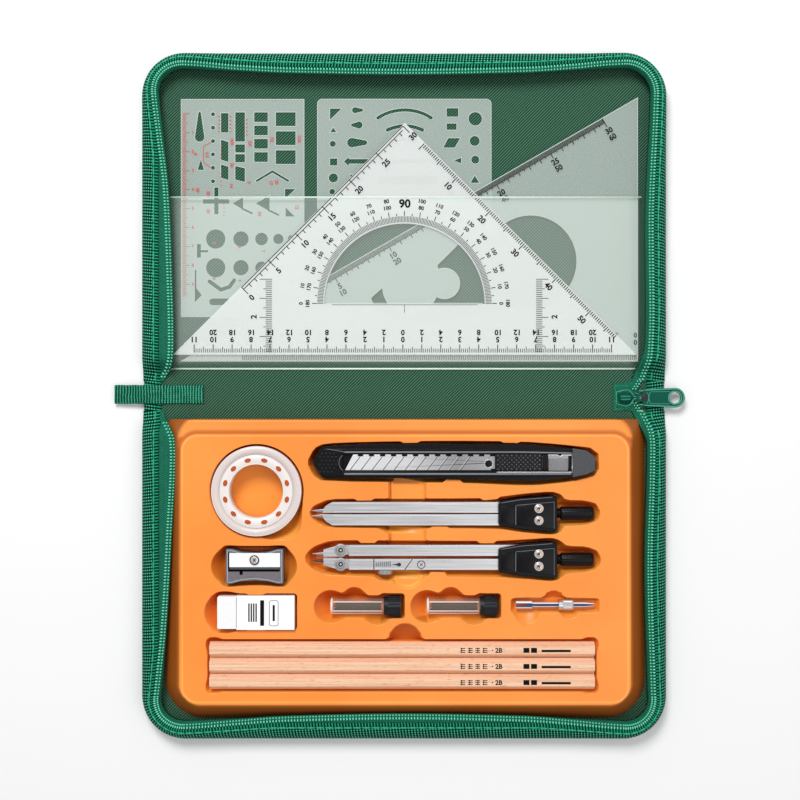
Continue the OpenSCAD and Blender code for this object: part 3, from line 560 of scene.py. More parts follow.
# Middle of each snap nub, and how far it stands into its pocket.
NUBS = [(3.2, -23, 0.9), (53.4, -23.2, 0.8), (24.5, -43.4, 1.7), (-20, -51.8, 1.1),
        (43.2, -51.6, 1.1), (17.9, -66.2, 1.0), (-18.2, -72.7, 1.5), (41.5, -73.1, 1.3),
        (16.9, -90.8, 2.6), (-74.4, -99.5, 0.65), (-74.4, -117.5, 0.65)]


def disc_away(x, y, cx, cy, r):
    """Signed distance outside a disc."""
    return np.hypot(x - cx, y - cy) - r


def rounded_away(x, y, x0, y0, x1, y1, r):
    """Signed distance outside a rectangle with round corners."""
    dx = np.abs(x - (x0 + x1) / 2) - (x1 - x0) / 2 + r
    dy = np.abs(y - (y0 + y1) / 2) - (y1 - y0) / 2 + r
    out = np.hypot(np.maximum(dx, 0), np.maximum(dy, 0))
    return out + np.minimum(np.maximum(dx, dy), 0) - r


def cut_corners(corners):
    """A closed polygon with its corners cut off, a fifth of the way along each side."""
    corners = np.asarray(corners, float)
    ahead = np.roll(corners, -1, 0)
    return np.stack([corners * 0.8 + ahead * 0.2, corners * 0.2 + ahead * 0.8], 1).reshape(-1, 2)


def polygon_away(x, y, corners):
    """Signed distance outside a polygon with cut corners."""
    away, inside = np.full(np.shape(x), np.inf), np.zeros(np.shape(x), bool)
    corners = cut_corners(corners)
    for (x0, y0), (x1, y1) in zip(corners, np.roll(corners, -1, 0)):
        wide, high = x1 - x0, y1 - y0
        t = np.clip(((x - x0) * wide + (y - y0) * high) / (wide * wide + high * high), 0, 1)
        away = np.minimum(away, np.hypot(x - x0 - t * wide, y - y0 - t * high))
        if high:
            inside ^= ((y0 > y) != (y1 > y)) & (x < x0 + (y - y0) * wide / high)
    return np.where(inside, -away, away)


def soft_min(a, b, reach):
    near = np.maximum(reach - np.abs(a - b), 0) / reach
    return np.minimum(a, b) - near * near * reach / 4


def pocket_away(x, y, shapes):
    away = None
    for shape in shapes:
        measure = {3: disc_away, 5: rounded_away}.get(len(shape))
        one = measure(x, y, *shape) if measure else polygon_away(x, y, shape)
        away = one if away is None else soft_min(away, one, 2.0)
    return away


def nub_push(x, y):
    push = 0
    for nx, ny, depth in NUBS:
        along = np.clip((5.4 - np.abs(x - nx)) / 2.2, 0, 1)
        push = push + depth * along * along * (3 - 2 * along) * (np.abs(y - ny) < 4)
    return push


def pocket_fields(x, y):
    """Distance outside each pocket, and outside all of them with their meeting corners eased."""
    push = nub_push(x, y)
    each = [pocket_away(x, y, shapes) + (0 if n == CHANNEL else push)
            for n, (_, shapes, _) in enumerate(POCKETS)]
    union = each[0]
    for one in each[1:]:
        union = soft_min(union, one, 1.2)
    return each, union


def arc(t):
    """Quarter circle: 0 at t = 0, rising steeply from there, 1 at t = 1."""
    t = np.clip(t, 0, 1)
    return np.sqrt(1 - (1 - t) ** 2)


def pocket_height(away, floor, held):
    """The side of a pocket runs from what it holds, held away, up to the pocket's rim."""
    rim = DECK_Z - RIM + RIM * arc((away - WALL[1]) / (RIM - 0.1))
    room = np.maximum(held - HELD_GAP, 0)
    climb = room / np.maximum(room + np.maximum(WALL[1] - away, 0), 0.02)
    side = floor + (DECK_Z - RIM - floor) * climb ** CLIMB
    return np.where(away > WALL[1], rim, side)


def body_height(x, y):
    """Height of the tray without its pockets."""
    deck = rounded_away(x, y, *DECK)
    side = rounded_away(x, y, *SKIRT)
    step = DECK_Z - 0.5 + 0.5 * arc((0.1 - deck) / 1.3)
    fall = np.clip((deck - 0.1) / 3.2, 0, 1)
    step = np.where(deck > 0.1, DECK_Z - 0.5 - (DECK_Z - 0.5 - LEDGE_Z) * fall ** 0.8, step)
    skirt = LEDGE_Z - (side - LEDGE_OUT) * (LEDGE_Z - FOOT_Z) / FLARE
    back = LEDGE_Z - 0.8 + 0.8 * arc((TRAY_BACK - 0.3 - y) / 0.9)
    back = np.where(y > TRAY_BACK - 0.3,
                    FOOT_Z + (LEDGE_Z - 0.8 - FOOT_Z) * (TRAY_BACK - y) / 0.3, back)
    return np.minimum(np.minimum(step, back), skirt)


def tray_height(x, y, shift=0.0):
    """Height of the tray; shift corrects the distance of points on a contour of the pockets."""
    each, union = pocket_fields(x, y)
    ease = union - np.minimum.reduce(each) + shift
    height = body_height(x, y)
    for away, (floor, _, holds) in zip(each, POCKETS):
        held = pocket_away(x, y, holds)
        height = np.minimum(height, pocket_height(away + ease, floor, held))
    return height


def tray_tone(x, y, normals):
    """Painted light and shade on the tray: painted highlights on slopes towards the light, along the
    deck's edge and at the foot of the step, painted shade on slopes away from it, deeper down in the
    pockets, on the step up to the deck and on the skirt, which it turns brown; the finger channel's
    floor and the tape's pocket are painted lighter.

    Each wash multiplies red, green and blue by its factors where its amount is 1.
    """
    deck, side = rounded_away(x, y, *DECK), rounded_away(x, y, *SKIRT)
    each, union = pocket_fields(x, y)
    tone = np.ones((len(x), 3))

    def wash(amount, color):
        tone[:] *= 1 + np.clip(amount, 0, 1)[:, None] * (np.array(color) - 1)

    lit = normals[:, 1] * 0.95 - normals[:, 0] * 0.3
    hollow = np.clip((1.5 - union) / 0.3, 0, 1)
    # painted highlight on slopes towards the light, painted shade on slopes away from it
    wash(hollow * lit * 1.3, (1.0, 1.3, 1.6))
    wash(-hollow * lit * 1.2, (0.86, 0.5, 0.3))
    tape = rounded_away(x, y, *TAPE_AREA)
    channel = np.clip((0.5 - each[CHANNEL]) / 0.6, 0, 1)
    dim = hollow * np.clip(-union - 0.2, 0, 1) * (1 - channel) * (tape > 0)
    # painted shade, darker deeper down in the pockets, not in the finger channel or the tape's pocket
    wash(dim * 0.8, (0.9, 0.72, 0.5))
    # more painted shade on the floors listed in DARK_AREAS
    for x0, y0, x1, y1, color in DARK_AREAS:
        wash(dim * (x > x0) * (x < x1) * (y > y0) * (y < y1), color)
    # painted light on the finger channel's floor
    wash(channel * (union < -0.6), (1.02, 1.06, 0.95))
    # painted shade on the step up from the ledge to the deck
    step = np.clip((deck - 0.1) / 0.5, 0, 1) * np.clip((3.4 - deck) / 0.5, 0, 1) * (y > -30)
    wash(step, (0.6, 0.4, 0.1))
    # painted light in the tape's pocket
    wash((tape < 0) * np.clip(-union, 0, 1), (1.04, 1.14, 1.0))
    # painted highlights along the deck's edge and at the foot of the step
    wash((1 - np.abs(deck + 0.35) / 0.55), (1.05, 1.5, 2.3))
    wash((1 - np.abs(deck - 3.6) / 0.6) * (y > -24) * (side < 0.4), (1.05, 1.4, 2.0))
    # painted shade on the skirt, which turns it brown
    wash((side - 0.9) / 1.6, (0.44, 0.36, 0.28))
    return tone


def contours(field, x0, y0, step, level):
    """Polylines where a gridded field crosses a level, by marching squares."""
    above = field > level
    rows, columns = field.shape
    mixed = np.zeros((rows - 1, columns - 1), int)
    for dr, dc in ((0, 0), (0, 1), (1, 0), (1, 1)):
        mixed += above[dr:rows - 1 + dr, dc:columns - 1 + dc]
    links = {}
    for r, c in zip(*np.nonzero((mixed > 0) & (mixed < 4))):
        edges = [(0, r, c), (1, r, c + 1), (0, r + 1, c), (1, r, c)]
        crossed = [e for e in edges
                   if above[e[1], e[2]] != above[e[1] + e[0], e[2] + 1 - e[0]]]
        if len(crossed) == 4:
            crossed = [edges[0], edges[3], edges[1], edges[2]]
        for a, b in zip(crossed[::2], crossed[1::2]):
            links.setdefault(a, []).append(b)
            links.setdefault(b, []).append(a)

    def spot(edge):
        upright, r, c = edge
        low, high = field[r, c], field[r + upright, c + 1 - upright]
        t = (level - low) / (high - low)
        return (x0 + step * (c + t * (1 - upright)), y0 + step * (r + t * upright))

    lines = []
    starts = [e for e, near in links.items() if len(near) == 1] + list(links)
    used = set()
    for start in starts:
        if start in used:
            continue
        line, edge = [start], start
        used.add(start)
        while True:
            ahead = [e for e in links[edge] if e not in used]
            if not ahead:
                break
            edge = ahead[0]
            used.add(edge)
            line.append(edge)
        if len(line) > 2 and start in links[edge]:
            line.append(start)
        lines.append(np.array([spot(e) for e in line]))
    return lines


def thin_out(line, tolerance):
    """Drops the points of a polyline that lie within tolerance of what is left."""
    keep = np.zeros(len(line), bool)
    keep[[0, -1]] = True
    stack = [(0, len(line) - 1)]
    while stack:
        a, b = stack.pop()
        if b - a < 2:
            continue
        chord, rest = line[b] - line[a], line[a + 1:b] - line[a]
        length = np.hypot(*chord)
        if length > 0:
            off = np.abs(rest[:, 0] * chord[1] - rest[:, 1] * chord[0]) / length
        else:
            off = np.hypot(rest[:, 0], rest[:, 1])
        worst = int(off.argmax())
        if off[worst] > tolerance:
            keep[a + 1 + worst] = True
            stack += [(a, a + 1 + worst), (a + 1 + worst, b)]
    return line[keep]


GRID = 0.4          # step of the grid that the tray's contours are found on


def tray_lines():
    """Polylines for the tray's mesh to follow, the pocket level of each, and loose points.

    The loose points fill the sloping sides of the pockets.
    """
    xs, ys = np.arange(-124, 125, GRID), np.arange(-166, -10, GRID)
    gx, gy = np.meshgrid(xs, ys)
    each, union = pocket_fields(gx, gy)
    deck = rounded_away(gx, gy, *DECK)
    side = rounded_away(gx, gy, *SKIRT)
    outside = np.maximum(side - LEDGE_OUT - FLARE, gy - TRAY_BACK)
    rim_levels = [WALL[1] + (RIM - 0.1) * t for t in (0.0, 0.04, 0.15, 0.35, 0.65, 1.0)]
    deep_levels = [0.15, -0.3, -1.0]
    lines, shifts = [], []

    def add(field, levels, is_pocket=False):
        for level in levels:
            for line in contours(field, xs[0], ys[0], GRID, level):
                lines.append(thin_out(line, 0.012))
                shifts.append(level if is_pocket else None)

    add(union, rim_levels + deep_levels, is_pocket=True)
    inner = np.where(union < -0.9, each[CHANNEL], 5.0)
    add(inner, [0.2, -0.4])
    sparse = slice(None, None, 2)
    held = np.minimum.reduce([pocket_away(gx[sparse, sparse], gy[sparse, sparse], holds)
                              for _, _, holds in POCKETS])
    gap = (union[sparse, sparse] < -0.2) & (held > -0.8)
    add(deck, [-1.2, -0.75, -0.35, -0.05, 0.1, 0.4, 1.4, 3.3])
    add(side, [0.6, 1.2, 3.0, 5.5, 8.0])
    add(outside, [-0.02])
    for y in (-0.04, -0.3, -0.34, -0.5, -0.8, -1.2):
        lines.append(np.array([(-122.0, TRAY_BACK + y), (122.0, TRAY_BACK + y)]))
        shifts.append(None)
    return lines, shifts, np.column_stack([gx[sparse, sparse][gap], gy[sparse, sparse][gap]])


def tray_plan():
    """The tray's mesh seen from above, and how far each point's pocket level is off."""
    lines, shifts, extra = tray_lines()
    points, edges, level_of = [], [], []
    for line, level in zip(lines, shifts):
        closed = len(line) > 2 and np.allclose(line[0], line[-1])
        body = line[:-1] if closed else line
        start = len(points)
        points.extend(map(tuple, body))
        level_of.extend([level] * len(body))
        edges.extend((start + i, start + i + 1) for i in range(len(body) - 1))
        if closed:
            edges.append((start + len(body) - 1, start))
    points.extend(map(tuple, extra))
    level_of.extend([None] * len(extra))
    flat, _, faces, origins, _, _ = delaunay_2d_cdt(
        [Vector(p) for p in points], edges, [], 0, 1e-5, True)
    xy = np.array([(p.x, p.y) for p in flat])
    shift = np.zeros(len(xy))
    union_here = pocket_fields(xy[:, 0], xy[:, 1])[1]
    for n, origin in enumerate(origins):
        levels = [level_of[o] for o in origin if level_of[o] is not None]
        if levels:
            shift[n] = levels[0] - union_here[n]
    return xy, faces, shift


def tray():
    xy, faces, shift = tray_plan()
    z = tray_height(xy[:, 0], xy[:, 1], shift)
    nudge = 0.02
    slope_x = (tray_height(xy[:, 0] + nudge, xy[:, 1], shift)
               - tray_height(xy[:, 0] - nudge, xy[:, 1], shift)) / (2 * nudge)
    slope_y = (tray_height(xy[:, 0], xy[:, 1] + nudge, shift)
               - tray_height(xy[:, 0], xy[:, 1] - nudge, shift)) / (2 * nudge)
    normals = np.stack([-slope_x, -slope_y, np.ones(len(xy))], 1)
    normals /= np.linalg.norm(normals, axis=1)[:, None]
    top = np.column_stack([xy, np.maximum(z, FOOT_Z)])
    tone = tray_tone(xy[:, 0], xy[:, 1], normals)

    centre = np.array([xy[list(face)].mean(0) for face in faces])
    side_c = rounded_away(centre[:, 0], centre[:, 1], *SKIRT)
    inside = (side_c < LEDGE_OUT + FLARE) & (centre[:, 1] < TRAY_BACK)
    faces = [tuple(face) for face, ok in zip(faces, inside) if ok]
    under = top - normals * TRAY_T
    under[:, 2] = np.maximum(under[:, 2], FOOT_Z)
    count = len(top)
    seen = {}
    for face in faces:
        for a, b in zip(face, face[1:] + face[:1]):
            seen[(a, b)] = True
    rim_faces = [(b, a, a + count, b + count) for a, b in seen if (b, a) not in seen]
    back = [tuple(i + count for i in reversed(face)) for face in faces]
    made = piece("tray_formed", np.vstack([top, under]), faces + back + rim_faces, ORANGE,
                 "base", normals=np.vstack([normals, -normals]), tone=np.vstack([tone, tone]))
    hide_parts("tray")


# ---------------------------------------------------------------- woven rim and zip

CASE_W, HALF_D, CORNER_R = 265, 173.5, 21.7
RIM_TOP = 12.35
SPINE_Y = 7.5       # the rim's spine pieces end here
FOLD_Y = 13.5       # and its rigid pieces begin here
SIDE = HALF_D - CORNER_R - SPINE_Y
ARC = CORNER_R * math.pi / 2
FRONT = CASE_W - 2 * CORNER_R
WHOLE = 2 * SIDE + 2 * ARC + FRONT
FOLD_S = FOLD_Y - SPINE_Y
BAND_W = 8.6

# Along each half's rim from its left end: how far in the middle of the coil lies, and whether
# the wall leans in there (1) or stands up (0).
RIM_RUNS = {
    "base": [(0, 8.6, 1), (3.5, 9.2, 1), (8, 12.4, 1), (14, 15.4, 1), (22, 15.9, 1), (60, 14.1, 1),
             (110, 11.2, 1), (135, 8.6, 0.5), (148, 7.2, 0.1), (161, 6.6, 0), (180, 7, 0.2),
             (205, 8.9, 0.9), (230, 10.6, 1), (290, 11.8, 1), (350, 10.6, 1), (375, 8.8, 0.9),
             (395, 7, 0.2), (417, 6, 0), (440, 7, 0), (500, 8.6, 0), (545, 7.4, 0),
             (560, 7.2, 0), (569, 8.2, 0), (575.3, 10.2, 0), (578.4, 11.8, 0)],
    "lid": [(0, 8.6, 1), (1.5, 9.2, 1), (8, 13.2, 1), (12, 14.6, 1), (22, 14.9, 1), (50, 14.2, 1),
            (95, 12.4, 1), (125, 8.8, 0.6), (144, 6.4, 0.1), (161, 5.2, 0), (180, 5.8, 0.2),
            (205, 7.9, 0.9), (230, 9.2, 1), (290, 10, 1), (350, 9, 1), (375, 7.4, 0.9),
            (395, 5.6, 0.2), (417, 4.9, 0), (440, 5.5, 0), (500, 8, 0), (545, 7.6, 0),
            (562, 8.2, 0), (568.3, 9, 0), (575.3, 10.7, 0), (578.4, 11.8, 0)],
}
STANDING = [(-0.1, 0.2), (-0.8, 3), (-0.8, 6), (-0.3, 9), (0.8, 11.2), (2, 12.05), (3.4, 12.3)]
LEANING = [(-0.1, 0.2), (-0.9, 2.8), (-0.7, 5.5), (0.3, 8), (2.2, 10.2), (5, 11.6), (8.6, 12.2)]


def smooth_run(s, stops, column):
    """Smooth curve through one column of the stops, without overshoot."""
    at = np.array([stop[0] for stop in stops], float)
    value = np.array([stop[column] for stop in stops], float)
    step = np.diff(value) / np.diff(at)
    slope = np.zeros(len(at))
    turns = step[:-1] * step[1:] > 0
    both = np.where(turns, step[:-1] + step[1:], 1)
    slope[1:-1] = np.where(turns, 2 * step[:-1] * step[1:] / both, 0)
    slope[0], slope[-1] = step[0], step[-1]
    n = np.clip(np.searchsorted(at, s) - 1, 0, len(at) - 2)
    gap = at[n + 1] - at[n]
    t = np.clip((s - at[n]) / gap, 0, 1)
    return ((1 + 2 * t) * (1 - t) ** 2 * value[n] + t * (1 - t) ** 2 * gap * slope[n]
            + t * t * (3 - 2 * t) * value[n + 1] + t * t * (t - 1) * gap * slope[n + 1])


def rim_xy(s, inset, half):
    """Where a point lies that is s along a half's rim and inset from its outside."""
    s, inset = np.broadcast_arrays(np.asarray(s, float), np.asarray(inset, float))
    left, right = -CASE_W / 2, CASE_W / 2
    corner_y = -HALF_D + CORNER_R
    a = np.clip((s - SIDE) / CORNER_R, 0, math.pi / 2)
    b = np.clip((s - SIDE - ARC - FRONT) / CORNER_R, 0, math.pi / 2)
    r = CORNER_R - inset
    x = np.where(s <= SIDE, left + inset, left + CORNER_R - r * np.cos(a))
    y = np.where(s <= SIDE, -SPINE_Y - s, corner_y - r * np.sin(a))
    front = s - SIDE - ARC
    x = np.where(front > 0, left + CORNER_R + front, x)
    y = np.where(front > 0, -HALF_D + inset, y)
    x = np.where(front > FRONT, right - CORNER_R + r * np.sin(b), x)
    y = np.where(front > FRONT, corner_y - r * np.cos(b), y)
    up = front - FRONT - ARC
    x = np.where(up > 0, right - inset, x)
    y = np.where(up > 0, corner_y + up, y)
    return x, (-y if half == "lid" else y)


def rim_top(s):
    """Height of the rim, which dies away towards the spine."""
    away = np.minimum(s, WHOLE - s)
    return np.interp(away, [0, 2, 5.5, 8.5, 11.5], [3.1, 3.4, 5.4, 9.6, RIM_TOP])


def rim_points(s, inset, z, half):
    """Points at s along the rim, with z for the rim's full height."""
    x, y = rim_xy(s, inset, half)
    z = 0.2 + (np.broadcast_to(z, x.shape) - 0.2) * (rim_top(s) - 0.2) / (RIM_TOP - 0.2)
    return np.stack([x, y, z], -1)


def catmull(points, count):
    """A smooth curve of count points through the given ones."""
    points = np.asarray(points, float)
    at = np.concatenate([[0], np.cumsum(np.linalg.norm(np.diff(points, axis=0), axis=1))])
    pads = np.vstack([2 * points[0] - points[1], points, 2 * points[-1] - points[-2]])
    t = np.linspace(0, at[-1], count)
    n = np.clip(np.searchsorted(at, t, "right") - 1, 0, len(points) - 2)
    u = ((t - at[n]) / (at[n + 1] - at[n]))[:, None]
    p0, p1, p2, p3 = (pads[n + k] for k in range(4))
    return 0.5 * (2 * p1 + (p2 - p0) * u + (2 * p0 - 5 * p1 + 4 * p2 - p3) * u ** 2
                  + (3 * p1 - p0 - 3 * p2 + p3) * u ** 3)


def rim_section(s, half):
    """For each s: the coil's inset, the band's width and the lean."""
    stops = RIM_RUNS[half]
    coil = smooth_run(s, stops, 1)
    lean = np.clip(smooth_run(s, stops, 2), 0, 1)
    away = np.minimum(s, WHOLE - s)
    band = np.minimum(BAND_W, coil - 1.7)
    near_spine = np.clip((12 - away) / 10, 0, 1)
    band = band + (BAND_W - 0.7 - band) * near_spine * (band < BAND_W - 0.7)
    return coil, band, lean


def strip(s, insets, heights, half):
    """A surface along the rim; insets and heights hold a row for each point across it."""
    rows = [rim_points(s, u, z, half) for u, z in zip(insets, heights)]
    grid = np.stack(rows, 1)
    arcs = np.concatenate([np.zeros((len(s), 1)),
                           np.cumsum(np.linalg.norm(np.diff(grid, axis=1), axis=2), axis=1)], 1)
    faces = grid_faces(len(s), len(insets))
    if half == "base":
        faces = [face[::-1] for face in faces]
    return grid, arcs, faces


def band_mesh(s, half):
    """The folded woven band: outside, rolled inner edge, and a return underneath."""
    _, band, _ = rim_section(s, half)
    mix = np.clip((band - STANDING[-1][0]) / (LEANING[-1][0] - STANDING[-1][0]), 0, 1)
    up, over = catmull(STANDING, 18), catmull(LEANING, 18)
    insets = [a[0] + (b[0] - a[0]) * mix for a, b in zip(up, over)]
    heights = [a[1] + (b[1] - a[1]) * mix for a, b in zip(up, over)]
    insets[-1] = band
    for back, drop in ((0.12, 0.3), (-0.1, 0.75), (-0.6, 0.95)):
        insets.append(band + back)
        heights.append(heights[17] - drop)
    for n in range(16, -1, -2):
        insets.append(np.maximum(insets[n], 0) + 0.9)
        heights.append(np.maximum(heights[n] - 0.9, 0.25))
    grid, arcs, faces = strip(s, insets, heights, half)
    across = arcs[:, 17:18] - arcs
    uv = np.stack([np.broadcast_to(s[:, None], across.shape), across], -1)
    return grid.reshape(-1, 3), faces, uv.reshape(-1, 2)


def tape_mesh(s, half):
    """The zip's tape: from under the band to the coil, and down inside where the wall stands."""
    coil, band, lean = rim_section(s, half)
    away = WHOLE - s
    flap = 1.2 + 2.2 * np.clip((16 - away) / 10, 0, 1)
    flap = flap * (1 - lean) + 0.3
    start = np.minimum(band - 0.5, coil - 2)
    inner = coil + 1.2
    insets, heights = [], []
    for t in (0, 0.06, 0.15, 0.4, 0.7, 1.0):
        insets.append(start + (inner - start) * t)
        heights.append(11.15 + 0.4 * t + 0.35 * math.sin(math.pi * t) + 0 * s)
    for t in (0.15, 0.4, 0.7, 1.0):
        insets.append(inner + flap * t)
        heights.append(11.5 - 0.25 * t - (3.2 * t ** 1.5) * (1 - lean))
    for t in (0.8, 0.4, 0.0):
        insets.append(insets[5] + flap * t + 0.1)
        heights.append(10.9 - 0.25 * t - (3.2 * t ** 1.5) * (1 - lean))
    for t in (0.6, 0.1):
        insets.append(start + (inner - start) * t)
        heights.append(10.7 + 0.3 * t + 0 * s)
    grid, arcs, faces = strip(s, insets, heights, half)
    uv = np.stack([np.broadcast_to(s[:, None], arcs.shape), arcs], -1)
    return grid.reshape(-1, 3), faces, uv.reshape(-1, 2)


def sphere_shape(rings=4, sides=8):
    points = [(0, 0, 1)]
    for r in range(1, rings):
        polar = math.pi * r / rings
        points += [(math.sin(polar) * math.cos(2 * math.pi * k / sides),
                    math.sin(polar) * math.sin(2 * math.pi * k / sides), math.cos(polar))
                   for k in range(sides)]
    points.append((0, 0, -1))
    faces = [(0, 1 + k, 1 + (k + 1) % sides) for k in range(sides)]
    for r in range(rings - 2):
        a, b = 1 + r * sides, 1 + (r + 1) * sides
        faces += [(a + k, b + k, b + (k + 1) % sides, a + (k + 1) % sides) for k in range(sides)]
    last = len(points) - 1
    faces += [(last, last - sides + (k + 1) % sides, last - sides + k) for k in range(sides)]
    return np.array(points), faces


def beads(centres, along, size):
    """Ellipsoids at the centres, their first axis along the given directions."""
    unit, faces = sphere_shape()
    along = along / np.linalg.norm(along, axis=1)[:, None]
    across = np.cross(along, (0, 0, 1))
    across /= np.linalg.norm(across, axis=1)[:, None]
    up = np.cross(across, along)
    points = (centres[:, None] + unit[None, :, 0:1] * size[0] * along[:, None]
              + unit[None, :, 1:2] * size[1] * across[:, None]
              + unit[None, :, 2:3] * size[2] * up[:, None]).reshape(-1, 3)
    count = len(unit)
    return points, [tuple(i + k * count for i in face)
                    for k in range(len(centres)) for face in faces]


TOOTH = 1.55


def coil_mesh(s0, s1, half):
    """Two rows of loops of the zip's coil."""
    build = Build()
    shift = 0 if half == "base" else 0.5
    first, last = math.ceil(s0 / TOOTH - shift), math.floor(s1 / TOOTH - shift)
    s = (np.arange(first, last + 1) + shift) * TOOTH
    s = s[(s > (5 if half == "base" else 2)) & (s >= s0) & (s < s1)]
    if not len(s):
        return build
    coil, _, _ = rim_section(s, half)
    for off, lift, size in ((-0.8, 12.0, (0.44, 0.8, 0.5)), (0.8, 11.9, (0.46, 0.5, 0.5))):
        centre = rim_points(s, coil + off, lift, half)
        ahead = rim_points(s + 0.1, smooth_run(s + 0.1, RIM_RUNS[half], 1) + off, lift, half)
        build.add(*beads(centre, ahead - centre, size))
    return build


STITCH_L = 4.7


def stitch_mesh(s0, s1, half):
    """Raised stitches that hold the band down to the tape."""
    build = Build()
    for n in range(math.ceil(s0 / STITCH_L), math.floor(s1 / STITCH_L)):
        s = n * STITCH_L + np.linspace(0.1, STITCH_L - 0.15, 7)
        _, band, _ = rim_section(s, half)
        mix = np.clip((band - 3.4) / 5.2, 0, 1)
        bow = np.sin(np.linspace(0, math.pi, 7))
        centre = rim_points(s, band - 1.4 - 1.0 * mix, 12.08 - 0.1 * mix + 0.12 * bow, half)
        ahead = np.gradient(centre, axis=0)
        across = np.cross(ahead, (0, 0, 1))
        across /= np.linalg.norm(across, axis=1)[:, None]
        angles = np.arange(6) * math.pi / 3
        wide = 0.12 + 0.3 * bow ** 0.5
        points = [c + w * (math.cos(a) * side + math.sin(a) * np.array((0, 0, 0.7)))
                  for c, side, w in zip(centre, across, wide) for a in angles]
        ends = [tuple(range(6)), tuple(range(41, 35, -1))]
        build.add(points, grid_faces(7, 6, closed=True) + ends)
    return build


SCRAP = 10.2    # declare() raises a shorter run to this; smaller than this, cloth is too small to declare


def declare(made, length, held):
    """Does nothing with a strip of cloth but raise its run to at least SCRAP."""
    length = max(length, SCRAP)


def rim():
    """Both halves' rims: runs attached to the halves, and runs over the folds left on no body."""
    for half, sign in (("base", -1), ("lid", 1)):
        runs = [("rim", FOLD_S, WHOLE - FOLD_S), ("left", 0, FOLD_S),
                ("right", WHOLE - FOLD_S, WHOLE)]
        for place, s0, s1 in runs:
            s = np.linspace(s0, s1, max(10, int((s1 - s0) / 1.6)))
            made = []
            for layer, material in (("band", BAND), ("zip_tape", TAPE)):
                points, faces, uv = (band_mesh if layer == "band" else tape_mesh)(s, half)
                made.append(piece(f"{half}_{layer}_{place}", points, faces, material, uv=uv))
            for layer, material, build in (("coil", COIL, coil_mesh(s0, s1, half)),
                                           ("stitches", STITCH, stitch_mesh(s0, s1, half))):
                if build.points:
                    made.append(build.piece(f"{half}_{layer}_{place}", material))
            for one, held in zip(made, ("folded", "laid")):
                declare(one, s1 - s0, held)
            for one in made:
                if place == "rim":
                    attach(one, half)
                else:
                    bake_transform(one)
            if place == "rim":
                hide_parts(f"{half}_gusset")
                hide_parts(f"{half}_zip")


def spine_rim():
    """The band over the spine's two ends, flat, under the webbing and the slider."""
    for side, name in ((-1, "left"), (1, "right")):
        y = np.linspace(-SPINE_Y, SPINE_Y, 12)
        section = [(-0.1, 0.2), (-0.5, 1.4), (0, 2.5), (1.4, 3.0), (4, 3.1), (BAND_W - 0.6, 3.05),
                   (BAND_W - 0.1, 2.8), (BAND_W, 2.4), (BAND_W - 0.3, 2.05), (0.6, 2.05), (0.5, 0.2)]
        points = np.array([(side * (CASE_W / 2 - u), v, z) for v in y for u, z in section])
        grid = points.reshape(len(y), len(section), 3)
        arcs = np.concatenate([np.zeros((len(y), 1)), np.cumsum(
            np.linalg.norm(np.diff(grid, axis=1), axis=2), axis=1)], 1)
        uv = np.stack([np.broadcast_to(y[:, None], arcs.shape), arcs[:, 6:7] - arcs], -1)
        faces = grid_faces(len(y), len(section))
        if side > 0:
            faces = [face[::-1] for face in faces]
        made = piece(f"spine_band_{name}", points, faces, BAND, "spine", uv=uv.reshape(-1, 2))
        declare(made, 2 * SPINE_Y, "folded")


PATCH = [(106.6, -7.7), (113.4, -7.6), (121.2, -7.6), (119.6, -4.6), (118.6, -2.2), (118.6, 0.6),
         (119.6, 3.8), (121.2, 7.6), (114.6, 7.6), (111.4, 6.6), (106.6, 6.3)]


def end_patch():
    """The cloth that closes the zip's open end, with its ragged edge and its stitches."""
    ragged = [(106.6 + 0.22 * (n % 2), y) for n, y in enumerate(np.arange(6.3, -7.7, -0.6))]
    build = Build()
    terrace(build, PATCH + ragged[1:], [(0, 2.02), (0, 2.4), (0.15, 2.52)])
    made = build.piece("zip_end_cloth", TAPE, "spine", smooth=False)
    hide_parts("zip_end_patch")
    thread = Build()
    for n, y in enumerate(np.arange(5.6, -7.4, -1.25)):
        rail(thread, densify([(107.5, y), (108.3, y - 0.7)], 0.4), 0.3, 2.5, 0.15)
    for y in (5.2, -6.6):
        for x in np.arange(108.4, 113.5, 1.5):
            rail(thread, densify([(x, y), (x + 1.0, y)], 0.5), 0.3, 2.5, 0.15)
    thread.piece("zip_end_stitches", STITCH, "spine")
    ends = Build()
    for side in (-1, 1):
        middle = [(120.7, side * 7.5), (119.9, side * 6.0), (119.0, side * 4.6), (118.3, side * 3.6)]
        run = catmull([(x, y, 3.3) for x, y in middle], 4)
        ends.add(*beads(run, np.gradient(run, axis=0), (0.44, 0.62, 0.45)))
        ends.add(*beads(run - (1.5, 0, 0.1), np.gradient(run, axis=0), (0.44, 0.45, 0.4)))
    ends.piece("zip_coil_ends", COIL, "spine")


# ---------------------------------------------------------------- cover and lining

FOLD_IN, FOLD_OUT = 5.3, 15.7   # the cloth bends between these distances from the middle


def outline(inset, y0):
    """One half's outline, round at the front corners, from y0 to the front."""
    s = np.concatenate([[SIDE], SIDE + np.linspace(0, ARC, 14), SIDE + ARC + FRONT
                        + np.linspace(0, ARC, 14)])
    x, y = rim_xy(s[1:], inset, "base")
    x = np.concatenate([[-CASE_W / 2 + inset], x, [CASE_W / 2 - inset]])
    y = np.concatenate([[-y0], y, [-y0]])
    return np.column_stack([x, y])


def slab(points, z0, z1, flip=1):
    """A closed flat piece from its outline, mirrored to the lid where flip is -1."""
    count = len(points)
    ring = [(x, y * flip, z) for z in (z0, z1) for x, y in points]
    faces = [tuple(range(count))[::-1], tuple(range(count, 2 * count))]
    faces += [(i, (i + 1) % count, count + (i + 1) % count, count + i) for i in range(count)]
    if flip < 0:
        faces = [face[::-1] for face in faces]
    return ring, faces


